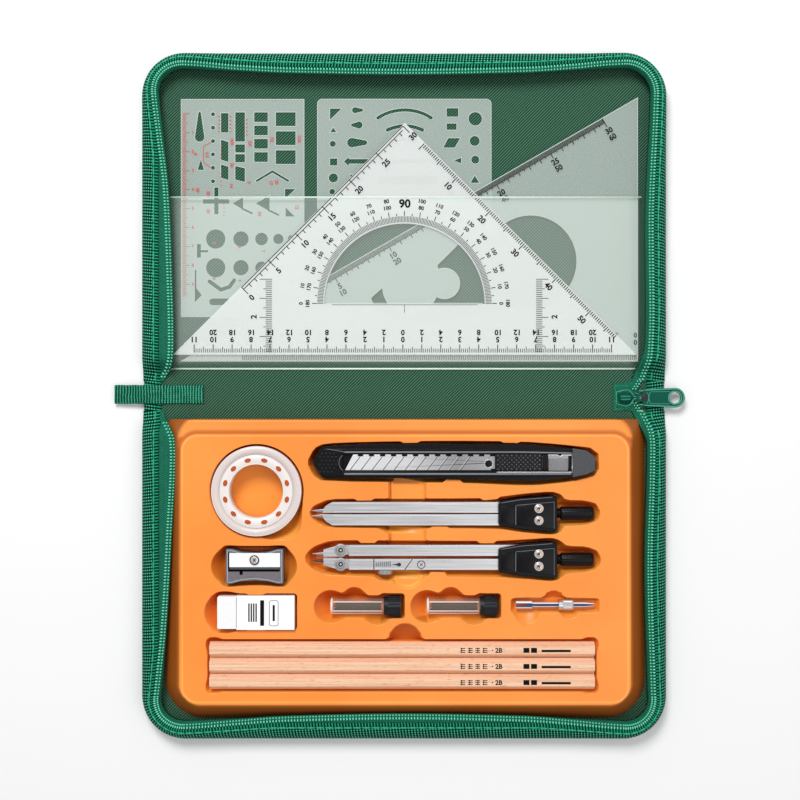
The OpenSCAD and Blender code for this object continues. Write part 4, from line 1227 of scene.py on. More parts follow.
def cloth_strip(x, y0, y1, z0, z1, rows=14):
    """A closed band of cloth across the spine, with rows of points along it."""
    build = Build()
    ys = np.linspace(y0, y1, rows)
    section = [(-x, z0), (x, z0), (x, z1), (-x, z1)]
    points = [(u, v, z) for v in ys for u, z in section]
    faces = [face[::-1] for face in grid_faces(rows, 4, closed=True)]
    faces += [(0, 1, 2, 3), tuple(range(4 * rows - 1, 4 * rows - 5, -1))]
    build.add(points, faces)
    return build


def cloth():
    for layer, material, inset, z0, z1 in (("lining", LINING, 1.4, 1.55, 2.0),
                                           ("cover", COVER, 0.05, 0.0, 0.75)):
        x = CASE_W / 2 - inset
        for half, flip in (("base", 1), ("lid", -1)):
            points, faces = slab(outline(inset, FOLD_OUT), z0, z1, flip)
            made = piece(f"{half}_{layer}_cloth", points, faces, material, half, smooth=False)
            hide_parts(f"{half}_{layer}")
            ends = sorted((-flip * FOLD_IN, -flip * FOLD_OUT))
            made = cloth_strip(x, *ends, z0, z1).piece(f"{half}_{layer}_fold", material, smooth=False)
            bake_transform(made)
        made = cloth_strip(x, -FOLD_IN, FOLD_IN, z0, z1).piece(
            f"spine_{layer}_cloth", material, "spine", smooth=False)
        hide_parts(f"spine_{layer}")


def webbing():
    """The ribbed tab at the zip's closed end, lying over the band."""
    x = np.arange(-147.8, -102.3, 0.18)
    lift = 0.35 + 1.15 * np.clip((-120.5 - x) / 4, 0, 1) - 0.9 * np.clip((-133 - x) / 13, 0, 1)
    rib = 0.16 * np.sin(x * 2 * math.pi / 1.45)
    y0 = -4.0
    across = [(0, 0.05), (0.15, 0.62), (0.5, 0.8), (1.2, 0.86), (8.4, 0.86), (9.1, 0.8),
              (9.45, 0.62), (9.6, 0.05)]
    points = []
    for u, up, r in zip(x, lift, rib):
        wave = 0.06 * math.sin(u * 0.9)
        for v, z in across:
            bump = r if 0.3 < v < 9.3 else r * 0.4
            points.append((u, y0 + v + wave, 1.72 + up + z + bump * (z > 0.5)))
    faces = [face[::-1] for face in grid_faces(len(x), len(across), closed=True)]
    faces += [tuple(range(len(across))), tuple(range(len(points) - 1, len(points) - 9, -1))]
    made = piece("webbing_cloth", points, faces, RIBBED, "spine")
    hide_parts("webbing_tab")


# ---------------------------------------------------------------- plates, prints and film

INK = 0.012     # prints and edge lines lie this far above their plate
GLYPHS = {}


def words(text):
    """Flat mesh of a run of digits or letters, centred, one unit high."""
    if text not in GLYPHS:
        curve = bpy.data.curves.new("digits", "FONT")
        curve.body = text
        curve.resolution_u = 3
        curve.offset = 0.034
        holder = bpy.data.objects.new("digits", curve)
        mesh = bpy.data.meshes.new_from_object(holder)
        points = np.array([tuple(v.co)[:2] for v in mesh.vertices])
        faces = [tuple(p.vertices) for p in mesh.polygons]
        bpy.data.objects.remove(holder)
        bpy.data.curves.remove(curve)
        bpy.data.meshes.remove(mesh)
        low, high = points.min(0), points.max(0)
        GLYPHS[text] = ((points - (low + high) / 2) / (high[1] - low[1]), faces)
    return GLYPHS[text]


class Print(Build):
    """Ink on a flat surface at height z."""

    def __init__(self, z):
        super().__init__()
        self.z = z + INK

    def line(self, x0, y0, x1, y1, width):
        along = np.array((x1 - x0, y1 - y0), float)
        side = np.array((-along[1], along[0])) / np.hypot(*along) * width / 2
        a, b = np.array((x0, y0)), np.array((x1, y1))
        self.add([(*p, self.z) for p in (a - side, b - side, b + side, a + side)], [(0, 1, 2, 3)])

    def number(self, text, x, y, height, turn=0.0):
        points, faces = words(str(text))
        c, s = math.cos(math.radians(turn)) * height, math.sin(math.radians(turn)) * height
        self.add([(x + c * u - s * v, y + s * u + c * v, self.z) for u, v in points], faces)


def top_outline(node):
    """Edges round a CAD plate's top face and its cut-outs, with the plate on their left."""
    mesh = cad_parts[node].data
    points = np.array([tuple(v.co) for v in mesh.vertices]) / MM
    top = points[:, 2].max()
    names, keys = {}, []
    for p in np.round(points, 3):
        keys.append(names.setdefault(tuple(p), len(names)))
    spots = np.array(list(names))
    edges = set()
    for face in mesh.polygons:
        corners = [keys[i] for i in face.vertices]
        if min(spots[i][2] for i in corners) > top - 0.01 and face.normal[2] > 0.5:
            edges.update(zip(corners, corners[1:] + corners[:1]))
    border = {a: b for a, b in edges if (b, a) not in edges}
    return spots, border


def edge_trim(node, name, body, width, material):
    """A narrow bright line along every edge of a plate, where its cut edge catches the light."""
    spots, after = top_outline(node)
    before = {b: a for a, b in after.items()}
    build = Build()
    inner = {}
    for a in after:
        if a not in before:
            continue
        into, out = spots[a] - spots[before[a]], spots[after[a]] - spots[a]
        n0, n1 = (np.array((-d[1], d[0])) / np.hypot(d[0], d[1]) for d in (into, out))
        mitre = n0 + n1
        mitre = mitre / max(mitre @ mitre / 2, 0.4)
        inner[a] = spots[a][:2] + mitre * width
    for a, b in after.items():
        if a in inner and b in inner:
            z = spots[a][2] + INK / 2
            build.add([(*spots[a][:2], z), (*spots[b][:2], z), (*inner[b], z), (*inner[a], z)],
                      [(0, 1, 2, 3)])
    build.piece(name, material, body, smooth=False)


FILM_Z = 5.29       # the film lies on the upper square
CM = 9.655          # printed step of one unit on the 45 degree square
BASE_Y = 22.1       # foot of its lower scale
LEG_X = 69.3        # its left leg's scale begins on the line through (-LEG_X, LEG_X)
STEP_30 = 9.46      # and the 30/60 square's step


ROOT = math.sqrt(0.5)
SCALE_X = -0.6              # middle of the lower scale
PROTRACTOR = (0.2, 47.1)    # and of the protractor


def lower_scale(ink):
    """Tenths of a unit both ways from the middle, with two rows of figures."""
    for n in range(-110, 111):
        x = SCALE_X + n * CM / 10
        up = 4.1 if n % 10 == 0 else 3.0 if n % 5 == 0 else 2.0
        ink.line(x, BASE_Y, x, BASE_Y + up, 0.42 if n % 10 == 0 else 0.32)
    for n in range(-11, 12):
        x = SCALE_X + n * CM
        ink.number(abs(n), x, 28.7, 2.9, 180)
        if abs(n) < 11:
            ink.number(2 * abs(n), x, 32.3, 2.9, 180)


def upright_scales(ink, grey):
    for side in (-1, 1):
        x = side * 67.2
        for n in range(0, 39):
            y = BASE_Y + 0.4 + n * 0.971
            out = 6.3 if n % 10 == 8 else 4.4 if n % 5 == 3 else 3.2
            grey.line(x, y, x + side * out, y, 0.42)
        ink.number(2, side * 76.5, 40.3, 3.0, 90)


def left_leg_scale(ink):
    inward = np.array((ROOT, -ROOT))
    for n in range(0, 31):
        a = (n - 5) / 5 * 19.35
        foot = np.array((a * ROOT - LEG_X, a * ROOT + LEG_X))
        start, end = (0.3, 5.2) if n % 5 == 0 else (2.1, 3.9)
        p, q = foot + inward * start, foot + inward * end
        ink.line(*p, *q, 0.42)
        if n % 5 == 0:
            ink.number(n, *(foot + inward * 7.7), 3.1, 45)


def bevel_lines():
    """Two grey lines of painted shade along the bevel of the left leg."""
    bevel = Print(FILM_Z)
    for away, width in ((0.5, 0.55), (1.9, 0.5)):
        ends = [np.array((a * ROOT - LEG_X, a * ROOT + LEG_X)) + np.array((ROOT, -ROOT)) * away
                for a in (-19.4, 97.0 - away)]
        bevel.line(*ends[0], *ends[1], width)
    bevel.piece("square_45_bevel_lines", GREY, "square_45", smooth=False)


def right_leg_scale(ink):
    inward = np.array((-ROOT, -ROOT))
    for n in range(0, 116):
        e = -83.5 + n * 1.2
        foot = np.array((e * ROOT + 69.7, -e * ROOT + 69.7))
        long = 4.6 if n % 20 == 0 else 3.6 if n % 10 == 0 else 2.5
        ink.line(*(foot + inward * 0.4), *(foot + inward * long), 0.46)
        if n % 20 == 0 and 0 < n < 120:
            ink.number(n // 2, *(foot + inward * 7.1), 3.1, -45)


def protractor(ink, grey):
    """A half circle of degrees counted both ways, over its own cross of hair lines."""
    centre = PROTRACTOR
    for degree in range(0, 181):
        a = math.radians(degree)
        way = np.array((math.cos(a), math.sin(a)))
        if degree % 5 == 0:
            long = 47.0 if degree % 10 == 0 else 45.7
            ink.line(*(centre + way * 44.6), *(centre + way * long), 0.38)
        grey.line(*(centre + way * 41.3), *(centre + way * 44.4), 0.4)
        if degree % 10 == 0 and degree != 90:
            ink.number(degree, *(centre + way * 49.3), 2.1, degree - 90)
            ink.number(180 - degree, *(centre + way * 52.7), 2.1, degree - 90)
    ink.line(centre[0], centre[1] + 47.2, centre[0], centre[1] + 44.6, 0.26)
    ink.number(90, 0.4, 97.9, 4.6)
    ink.line(-36.6, 46.4, 37.5, 46.4, 0.22)
    ink.line(centre[0], 46.4, centre[0], 42.4, 0.22)


def square_45_print():
    ink, grey = Print(FILM_Z), Print(FILM_Z)
    lower_scale(ink)
    upright_scales(ink, grey)
    left_leg_scale(ink)
    bevel_lines()
    right_leg_scale(ink)
    protractor(ink, grey)
    ink.piece("square_45_print", PRINT, "square_45", smooth=False)
    grey.piece("square_45_fine_print", GREY_PRINT, "square_45", smooth=False)
    # a bright strip along the window's lower edge, a painted highlight
    strip = Print(FILM_Z)
    strip.line(-39.5, 47.0, 40, 47.0, 0.9)
    strip.piece("square_45_window_sill_highlight", EDGE, "square_45", smooth=False)


def square_30_print():
    top = box("set_square_30_60")[1][2]
    ink = Print(top)
    corner = np.array((119.3, 152.4))
    along = np.array((math.cos(math.pi / 6), 0.5))
    inward = np.array((0.5, -math.cos(math.pi / 6)))
    for n in range(0, 61):
        foot = corner - along * (21.3 + (60 - n) * 3.17)
        long = 5.4 if n % 10 == 0 else 4.7 if n % 2 == 0 else 3.7
        ink.line(*(foot + inward * (0.4 if n == 60 else 3.0)), *(foot + inward * long), 0.42)
        if n % 10 == 0 and n:
            ink.number(n // 2, *(foot + inward * 7.4), 3.0, 30)
            ink.number(n, *(foot + inward * 11.1), 3.0, 30)
    for d in (0.75, 1.3, 1.85, 2.4, 2.9):
        p, q = (corner - along * t + inward * d for t in (211.5, 21.3))
        ink.line(*p, *q, 0.36)
    for n in range(0, 213):
        x = 118.3 - n * STEP_30 / 10
        ink.line(x, 18.3, x, 20.6 if n % 5 else 21.6, 0.36)
    for n in range(0, 22):
        ink.number(n, 118 - n * STEP_30, 27.3, 2.7, 180)
        ink.number(2 * n, 118 - n * STEP_30, 31.0, 2.5, 180)
    ink.piece("square_30_60_print", PRINT, "square_30_60", smooth=False)


# The red size marks beside the symbol stencil's cut-outs: text, and place to the right of and
# below the stencil's upper left corner.
SIZE_MARKS = [("16X", 26.2, 22), ("5X", 35.3, 22.8), ("7X", 46.4, 20.8), ("10X", 60.5, 20.6),
              (8, 7.5, 28.1), ("6.5", 13.5, 28.5), ("36", 26.2, 33.8), ("14", 25.8, 44.4),
              (9, 34.7, 42.6), ("17", 46, 43), ("20", 48.9, 42.4), ("40", 8.6, 46.4),
              ("30", 14, 48.1), ("30", 14.1, 57.4), ("12", 59.3, 55.4), ("50", 40.2, 58.7),
              (5, 17, 73.7), (6, 30, 75.7), (7, 42, 77.7), (8, 17, 91.7), (9, 30, 92.7),
              (10, 42, 93.7)]
# Columns of dots beside the holes: how many, half a dot's width, and the top one's place from
# that corner.
DOT_COLUMNS = [(5, 0.5, 19.6, 8.9), (5, 0.5, 25.3, 8.9), (5, 0.5, 33.6, 10.5),
               (4, 0.4, 20.5, 24.1), (4, 0.4, 20.5, 38.1), (4, 0.4, 22, 53.7)]
DOT_PITCH = 1.95
BRACKET = [(15.6, 22), (11.5, 24.1), (11.5, 32.2), (15.6, 35.3)]


def stencil_print():
    """The red ruler down the symbol stencil's side, and size marks beside its cut-outs."""
    low, high = box("template_symbols")
    ink = Print(high[2])
    x0, y0 = low[0], high[1]
    for n in range(0, 97):
        y = y0 - 7.4 - n * 0.97
        long = 4.4 if n % 10 == 0 else 3.6 if n % 5 == 0 else 2.7
        ink.line(x0 + 0.9, y, x0 + long, y, 0.34)
        if n % 10 == 0 and n:
            ink.number(n // 10, x0 + 6.1, y + 0.1, 1.7)
    for text, right, down in SIZE_MARKS:
        ink.number(text, x0 + right, y0 - down, 1.8, -90)
    for dots, half, right, down in DOT_COLUMNS:
        for n in range(dots):
            y = y0 - down - n * DOT_PITCH
            ink.line(x0 + right - half, y, x0 + right + half, y, half)
    for (x1, y1), (x2, y2) in zip(BRACKET, BRACKET[1:]):
        ink.line(x0 + x1, y0 - y1, x0 + x2, y0 - y2, 0.34)
    ink.piece("stencil_symbols_print", RED_PRINT, "stencil_symbols", smooth=False)


def film():
    """The clear pocket: one sheet, a little slack, welded down at both ends and its lower edge."""
    low, high = FILM_LOW, FILM_HIGH
    weld = np.array([0.05, 0.35, 0.8, 1.3, 2.2])    # rows of points across its weld
    xs = np.concatenate([low[0] + weld, np.linspace(low[0] + 6, high[0] - 6, 60),
                         high[0] - weld[::-1]])
    ys = np.concatenate([low[1] + weld, np.linspace(low[1] + 5, high[1], 26)])
    points = []
    for y in ys:
        for x in xs:
            inside = min(x - low[0], high[0] - x, y - low[1])
            drop = max(0, 1 - inside / 1.6) ** 2
            points.append((x, y, FILM_Z - drop * (FILM_Z - 2.25)))
    made = piece("pocket_film", points, grid_faces(len(ys), len(xs)), FILM, "lid")
    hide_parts("clear_pocket")
    lines = Build()
    for inset, y, width, height, z in ((0, high[1] - 0.35, 0.75, 0.2, FILM_Z + 0.06),
                                       (0.4, low[1] - 0.5, 0.9, 0.5, 2.45)):
        ring = [(0, 0), (1, 0.25), (1, 0.75), (0.75, 1), (0.25, 1), (0, 0.75)]
        points = [(x, y + (u - 0.5) * width, z + (v - 0.5) * height)
                  for x in np.linspace(low[0] + inset, high[0] - inset, 3) for u, v in ring]
        faces = [face[::-1] for face in grid_faces(3, len(ring), closed=True)]
        lines.add(points, faces + [tuple(range(6)), tuple(range(17, 11, -1))])
    lines.piece("pocket_film_edges", WELD, "lid")


def plates():
    for node, body, width in (("set_square_45", "square_45", 0.45),
                              ("set_square_30_60", "square_30_60", 0.45),
                              ("template_symbols", "stencil_symbols", 0.36),
                              ("template_shapes", "stencil_shapes", 0.36)):
        edge_trim(node, node + "_edges", body, width, EDGE)
    square_45_print()
    square_30_print()
    stencil_print()
    film()


# ---------------------------------------------------------------- small shapes


def soften(nodes, width, segments=2):
    """Rounds the edges of CAD nodes; their meshes stay as they are."""
    for node in nodes:
        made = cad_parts[node]
        weld = made.modifiers.new("weld", "WELD")
        weld.merge_threshold = 0.002 * MM
        bevel = made.modifiers.new("edges", "BEVEL")
        bevel.width = width * MM
        bevel.segments = segments
        bevel.limit_method = "ANGLE"
        bevel.angle_limit = math.radians(32)
        bevel.use_clamp_overlap = True


def offset(outline, inset):
    """A closed outline moved inwards along its mitred corners; it runs anticlockwise."""
    points = np.asarray(outline, float)
    into = points - np.roll(points, 1, 0)
    out = np.roll(points, -1, 0) - points
    n0, n1 = (np.column_stack([-d[:, 1], d[:, 0]]) / np.hypot(d[:, 0], d[:, 1])[:, None]
              for d in (into, out))
    mitre = n0 + n1
    mitre /= np.maximum((mitre * mitre).sum(1) / 2, 0.4)[:, None]
    return points + mitre * inset


def terrace(build, outline, steps):
    """A closed solid: the outline at each (inset, z) step, capped at both ends."""
    rings = [np.column_stack([offset(outline, inset), np.full(len(outline), z)])
             for inset, z in steps]
    count = len(outline)
    faces = grid_faces(len(rings), count, closed=True)
    faces.append(tuple(range(count))[::-1])
    faces.append(tuple(range(count * (len(rings) - 1), count * len(rings))))
    build.add(np.vstack(rings), faces)


def chip(build, outline, z0, z1, edge=0.25):
    """A flat block with chamfered top edges."""
    terrace(build, outline, [(0, z0), (0, z1 - edge), (edge * 0.35, z1 - edge * 0.3), (edge, z1)])


def oblong(x0, y0, x1, y1, r=0.5, steps=4):
    """Anticlockwise rectangle with round corners."""
    points = []
    for cx, cy, turn in ((x1 - r, y0 + r, -90), (x1 - r, y1 - r, 0), (x0 + r, y1 - r, 90),
                         (x0 + r, y0 + r, 180)):
        for a in np.linspace(turn, turn + 90, steps):
            points.append((cx + r * math.cos(math.radians(a)), cy + r * math.sin(math.radians(a))))
    return points


def circle(x, y, r, count=32, start=0, end=360):
    angles = np.radians(np.linspace(start, end, count, endpoint=end - start < 360))
    return [(x + r * math.cos(a), y + r * math.sin(a)) for a in angles]


def rail(build, path, width, z, height, closed=False):
    """A low rounded ridge along a path."""
    path = np.asarray(path, float)
    if closed:
        ahead = np.roll(path, -1, 0) - np.roll(path, 1, 0)
    else:
        ahead = np.gradient(path, axis=0)
    side = np.column_stack([-ahead[:, 1], ahead[:, 0]]) / np.hypot(*ahead.T)[:, None]
    section = [(math.cos(a), math.sin(a)) for a in np.linspace(0, math.pi, 7)] + [(0, -0.2)]
    points = [(*(p + s * u * width / 2), z + v * height) for p, s in zip(path, side)
              for u, v in section]
    count = len(section)
    rows = np.array(points).reshape(len(path), count, 3)
    if closed:
        rows = np.concatenate([rows, rows[:1]])
    faces = grid_faces(len(rows), count, closed=True)
    if not closed:
        total = len(rows) * count
        faces += [tuple(range(count)), tuple(range(total - 1, total - count - 1, -1))]
    build.add(rows.reshape(-1, 3), faces)


def densify(path, step=1.0):
    path = np.asarray(path, float)
    out = [path[:1]]
    for a, b in zip(path[:-1], path[1:]):
        n = max(1, int(np.hypot(*(b - a)) / step))
        out.append(a + (b - a) * np.linspace(0, 1, n + 1)[1:, None])
    return np.vstack(out)


def cross(build, centre, reach, angles, width, z, height):
    """Two rounded bars through a centre, at angles in degrees."""
    centre = np.array(centre)
    for angle in angles:
        a = math.radians(angle)
        arm = np.array((math.cos(a), math.sin(a))) * reach
        rail(build, densify([centre - arm, centre + arm], 0.5), width, z, height)


# ---------------------------------------------------------------- knife

BLADE_TOP = 18.2
SNAP_PITCH = 5.5
SNAP_FIRST_X = -21.9


def blade_marks():
    """The snap lines across the blade, a white painted highlight beside each, and the dark dashes along
    its back.
    """
    ink, shine = Print(BLADE_TOP), Print(BLADE_TOP)
    for n in range(11):
        x = SNAP_FIRST_X + n * SNAP_PITCH
        ink.line(x, -30.3, x - 5.1, -37.0, 0.36)
        shine.line(x - 0.4, -30.3, x - 5.5, -37.0, 0.2)
    for n in range(13):
        x = SNAP_FIRST_X + n * SNAP_PITCH
        ink.line(x - 1.2, -29.75, x + 1.5, -29.75, 0.9)
    ink.piece("knife_blade_snap_lines", PRINT, "blade_carrier", smooth=False)
    shine.piece("knife_blade_snap_highlights", WHITE, "blade_carrier", smooth=False)


def knife_body_lines():
    """The channel's lips, the ridges along the body in grey as painted highlights, and the grip marks
    on its nose.
    """
    lips = Build()
    for y0, y1 in ((-29.0, -28.2), (-38.2, -37.5)):
        chip(lips, oblong(-31.6, y0, 44.6, y1, 0.3, 2), 18.24, 18.62, 0.15)
    lips.piece("knife_channel_lips", BLACK, "knife")

    ridges = Build()
    for path, width, z, height in (
            ([(-30, -28.1), (58, -28.1), (70, -28.3), (83.5, -28.6)], 0.8, 18.5, 0.22),
            ([(-30, -39.0), (60, -39.0), (83.5, -38.9)], 1.0, 18.5, 0.22),
            ([(-38.5, -26.5), (-30, -27.9)], 0.3, 18.7, 0.2)):
        rail(ridges, densify(path), width, z, height)
    rail(ridges, circle(-27.9, -33.4, 4.6, 24, 125, 235), 0.3, 18.8, 0.2)
    ridges.piece("knife_ridge_highlights", HIGHLIGHT_GREY, "knife")

    texture = Build()       # fine grip marks on the nose
    for row in range(6):
        for column in range(5 - abs(row - 3) // 2):
            x, y = -42 + column * 2.0 + (row % 2), -37.9 + row * 1.85
            dash = oblong(x - 0.55, y - 0.35, x + 0.55, y + 0.35, 0.25, 3)
            chip(texture, dash, 18.78, 18.95, 0.1)
    texture.piece("knife_nose_marks", MATT_BLACK, "knife")


def knife_slider_parts():
    """The slider's ribbed grip and tongue, and the hole and ring at the blade's end."""
    grip = Build()
    chip(grip, oblong(69.2, -37.0, 71.9, -29.4, 0.6), 18.6, 19.2, 0.25)
    chip(grip, oblong(45.6, -37.3, 69.0, -29.2, 0.5), 18.6, 19.2, 0.2)
    grip.piece("knife_slider_grip", BLACK, "blade_carrier", smooth=False)
    studs = Build()
    for row in range(7):
        for column in range(10 - row % 2):
            x, y = 46.9 + 2.3 * column + 1.15 * (row % 2), -36.5 + 1.09 * row
            stud = [(x - 1.05, y), (x, y - 0.98), (x + 1.05, y), (x, y + 0.98)]
            terrace(studs, stud, [(0, 19.15), (0.42, 19.5), (0.55, 19.55)])
    studs.piece("knife_slider_studs", KNURLED, "blade_carrier", smooth=False)
    tongue = Build()
    chip(tongue, oblong(72.1, -37.4, 81.8, -31.3, 0.3), 18.25, 18.7, 0.2)
    tongue.piece("knife_slider_tongue", TONGUE, "blade_carrier")
    hole = Build()
    chip(hole, circle(42.2, -33.9, 1.75), 18.21, 18.32, 0.05)
    hole.piece("knife_blade_hole", BLACK, "blade_carrier")
    ring = Build()
    rail(ring, circle(42.2, -33.9, 2.05), 0.45, 18.22, 0.14, closed=True)
    rail(ring, densify([(71.8, -29.6), (76.6, -29.6), (77.4, -30.2), (78.4, -30.2), (79.2, -29.6),
                        (83.6, -29.6)], 0.5), 0.8, 18.22, 0.3)
    ring.piece("knife_blade_ring", SILVER, "blade_carrier")


def knife():
    blade_marks()
    knife_body_lines()
    knife_slider_parts()
    rail_low = Build()
    rail(rail_low, densify([(46, -38.1), (83.8, -38.1)]), 0.5, 18.5, 0.2)
    rail(rail_low, [(83.9, -38.4), (83.9, -28.2)], 0.35, 18.5, 0.2)
    rail_low.piece("knife_channel_rail", SATIN, "knife")
    soften(["knife_body", "knife_end_cap"], 0.5)
    soften(["knife_slider", "knife_blade"], 0.12)


# ---------------------------------------------------------------- divider and compass


def screw(build, dark, centre, x, y, z):
    """Screw head with a cross cut in its copper middle, on a turned collar; the dark ring round it is
    painted shadow and the cross cut is painted dark as shade.
    """
    build.add(*lathe_z([(0.02, z), (2.3, z), (2.3, z + 0.3), (2.05, z + 0.45), (1.75, z + 0.25),
                        (1.7, z + 0.5), (1.3, z + 0.8), (0.02, z + 0.9)], x, y, 40))
    chip(centre, circle(x, y, 1.15, 24), z + 0.8, z + 0.92, 0.03)
    chip(dark, circle(x, y, 2.62, 28), z - 0.3, z + 0.02, 0.01)
    for angle in (20, 110):
        a = math.radians(angle)
        c, s = math.cos(a), math.sin(a)
        corners = [(-0.8, -0.2), (0.8, -0.2), (0.8, 0.2), (-0.8, 0.2)]
        bar = [(x + c * u - s * v, y + s * u + c * v) for u, v in corners]
        chip(dark, bar, z + 0.8, z + 0.98, 0.03)


def handle(name, y, body):
    """Turned grip with lengthways flutes and a short neck."""
    sides = 84
    profile = [(76.4, 2.0, 0), (77.0, 2.5, 0), (78.2, 2.4, 0), (78.6, 2.9, 0), (79.0, 3.3, 0.5),
               (79.5, 3.42, 1), (93.2, 3.42, 1), (94.2, 3.3, 0.7), (94.9, 2.9, 0), (95.3, 2.2, 0),
               (95.5, 1.2, 0), (95.55, 0.1, 0)]
    points = []
    for x, r, flute in profile:
        for k in range(sides):
            a = 2 * math.pi * k / sides
            radius = r - 0.22 * flute * max(0, math.cos(a * 12)) ** 2
            points.append((x, y + radius * math.cos(a), 13 + radius * math.sin(a)))
    faces = grid_faces(len(profile), sides, closed=True)
    faces += [tuple(range(sides))[::-1], tuple(range(len(points) - sides, len(points)))]
    made = piece(name + "_fluted_handle", points, faces, BLACK, body)
    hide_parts(name + "_handle")


def clevis(name, y, y_up, y_low):
    """Raised plate, edges in grey as painted highlights, and screws of a black head."""
    plate, lines, screws, dark, centre = Build(), Build(), Build(), Build(), Build()
    outline = [(56.0, y - 5.6), (75.0, y - 7.5), (75.0, y + 5.9), (56.0, y + 4.2)]
    chip(plate, outline, 17.0, 17.55, 0.3)
    chip(plate, [(48.4, y - 4.7), (55.3, y - 5.4), (55.3, y + 4.0), (48.4, y + 3.6)], 17.0, 17.3, 0.2)
    for path, width, z, height in (
            ([(75.05, y - 7.4), (75.05, y + 5.9), (56.0, y + 4.3)], 0.28, 17.36, 0.22),
            ([(55.85, y + 4.2), (55.85, y - 5.5)], 0.42, 17.3, 0.24),
            ([(48.6, y + 5.4), (58, y + 7.0), (74.2, y + 8.3)], 0.3, 17.02, 0.15)):
        rail(lines, densify(path, 0.6), width, z, height)
    for py in (y_up, y_low):
        screw(screws, dark, centre, 67.4, py + 0.3, 17.5)
    plate.piece(name + "_head_plate", BLACK, name)
    lines.piece(name + "_head_edge_highlights", HIGHLIGHT_GREY, name)
    screws.piece(name + "_screw_heads", SILVER, name)
    centre.piece(name + "_screw_centres", COPPER, name)
    dark.piece(name + "_screw_slots", SHADOW_BLACK, name)
    handle(name, y, name)
    soften([name + "_head"], 0.7, 3)


def leg_shine(build, x0, x1, y0, y1, z):
    """Bright chamfers along a satin leg's two long edges."""
    for y, sign in ((y0, 1), (y1, -1)):
        build.add([(x0, y + sign * 0.05, z - 0.1), (x1, y + sign * 0.05, z - 0.1),
                   (x1, y + sign * 0.62, z + 0.03), (x0, y + sign * 0.62, z + 0.03)],
                  [(0, 1, 2, 3) if sign > 0 else (3, 2, 1, 0)])


def knee_rivet(build, dark, x, y, z):
    disc = Build()
    chip(disc, circle(x, y, 3.2, 48), z - 0.2, z + 0.1, 0.15)
    build.add(disc.points, disc.faces)
    rail(build, circle(x, y, 1.55, 32), 0.5, z + 0.1, 0.14, closed=True)
    # painted shade in the rivet's hole and in a thin groove round it
    chip(dark, circle(x, y, 1.15, 24), z - 0.1, z + 0.13, 0.02)
    rail(dark, circle(x, y, 2.1, 32), 0.12, z + 0.09, 0.03, closed=True)


def leg_chamfers():
    for name, x0, rows in (("divider_arm_upper", -35.5, (-58.6, -53.2)),
                           ("divider_arm_lower", -35.5, (-64.9, -59.3)),
                           ("compass_arm_upper", -27.4, (-80.2, -74.7)),
                           ("compass_arm_lower", -27.4, (-87.2, -81.7))):
        shine = Build()
        leg_shine(shine, x0, 47.6, *rows, 15.6)
        shine.piece(name + "_chamfers", BRIGHT, name, smooth=False)


def compass_marks():
    """Cuts, a drop, a small screw and little ribs on the compass's lower leg."""
    dark = Build()
    top = 15.62
    chip(dark, oblong(-15.4, -87.1, -14.9, -81.8, 0.1, 2), top - 0.1, top + 0.03, 0.01)
    chip(dark, [(0.1, -87.1), (0.6, -87.1), (4.4, -81.8), (3.9, -81.8)], top - 0.1, top + 0.03, 0.01)
    drop = [(-6.4, -84.5), (-3.6, -85.0), (-2.8, -85.5), (-1.8, -85.3), (-1.4, -84.5),
            (-1.9, -83.7), (-2.8, -83.6), (-3.6, -84.1)]
    chip(dark, drop, top - 0.1, top + 0.05, 0.02)
    rail(dark, circle(8.6, -84.6, 1.9, 40), 0.42, top, 0.05, closed=True)
    cross(dark, (8.6, -84.6), 0.9, (45, 135), 0.35, top, 0.05)
    for n in range(8):      # little ribs before the drop
        chip(dark, oblong(-14.2 + n * 1.0, -85.5, -13.8 + n * 1.0, -83.6 + 0.1 * n, 0.1, 2),
             top - 0.1, top + 0.02, 0.01)
    dark.piece("compass_leg_marks", MARK, "compass_arm_lower")


def knees():
    for name, y in (("compass_foot_upper", -77.4), ("compass_foot_lower", -84.4)):
        rivet, hole, bright = Build(), Build(), Build()
        knee_rivet(rivet, hole, -31.8, y, 15.8)
        chip(bright, circle(-31.8, y, 0.55, 16), 15.9, 16.0, 0.02)
        rivet.piece(name + "_rivet", RIVET, name)
        hole.piece(name + "_rivet_hole", SHADOW_BLACK, name)
        bright.piece(name + "_rivet_pin", SILVER, name)


def thumb_knurl():
    knurl = Build()
    sides = 36
    rows = [(-89.6, 3.0), (-89.3, 3.3), (-87.7, 3.3), (-87.4, 3.0)]
    points = []
    for y, r in rows:
        for k in range(sides):
            a = 2 * math.pi * k / sides
            radius = r - 0.3 * (k % 2)
            points.append((-9.6 + radius * math.cos(a), y, 13.4 + radius * math.sin(a)))
    faces = [face[::-1] for face in grid_faces(4, sides, closed=True)]
    faces += [tuple(range(sides)), tuple(range(len(points) - 1, len(points) - sides - 1, -1))]
    knurl.add(points, faces)
    knurl.piece("compass_thumb_knurl", RIVET, "thumb_screw", smooth=False)


def drawing_instruments():
    clevis("divider", -59, -56.6, -62.6)
    clevis("compass", -82.2, -79.3, -85.5)
    leg_chamfers()
    compass_marks()
    knees()
    thumb_knurl()


# ---------------------------------------------------------------- small tools


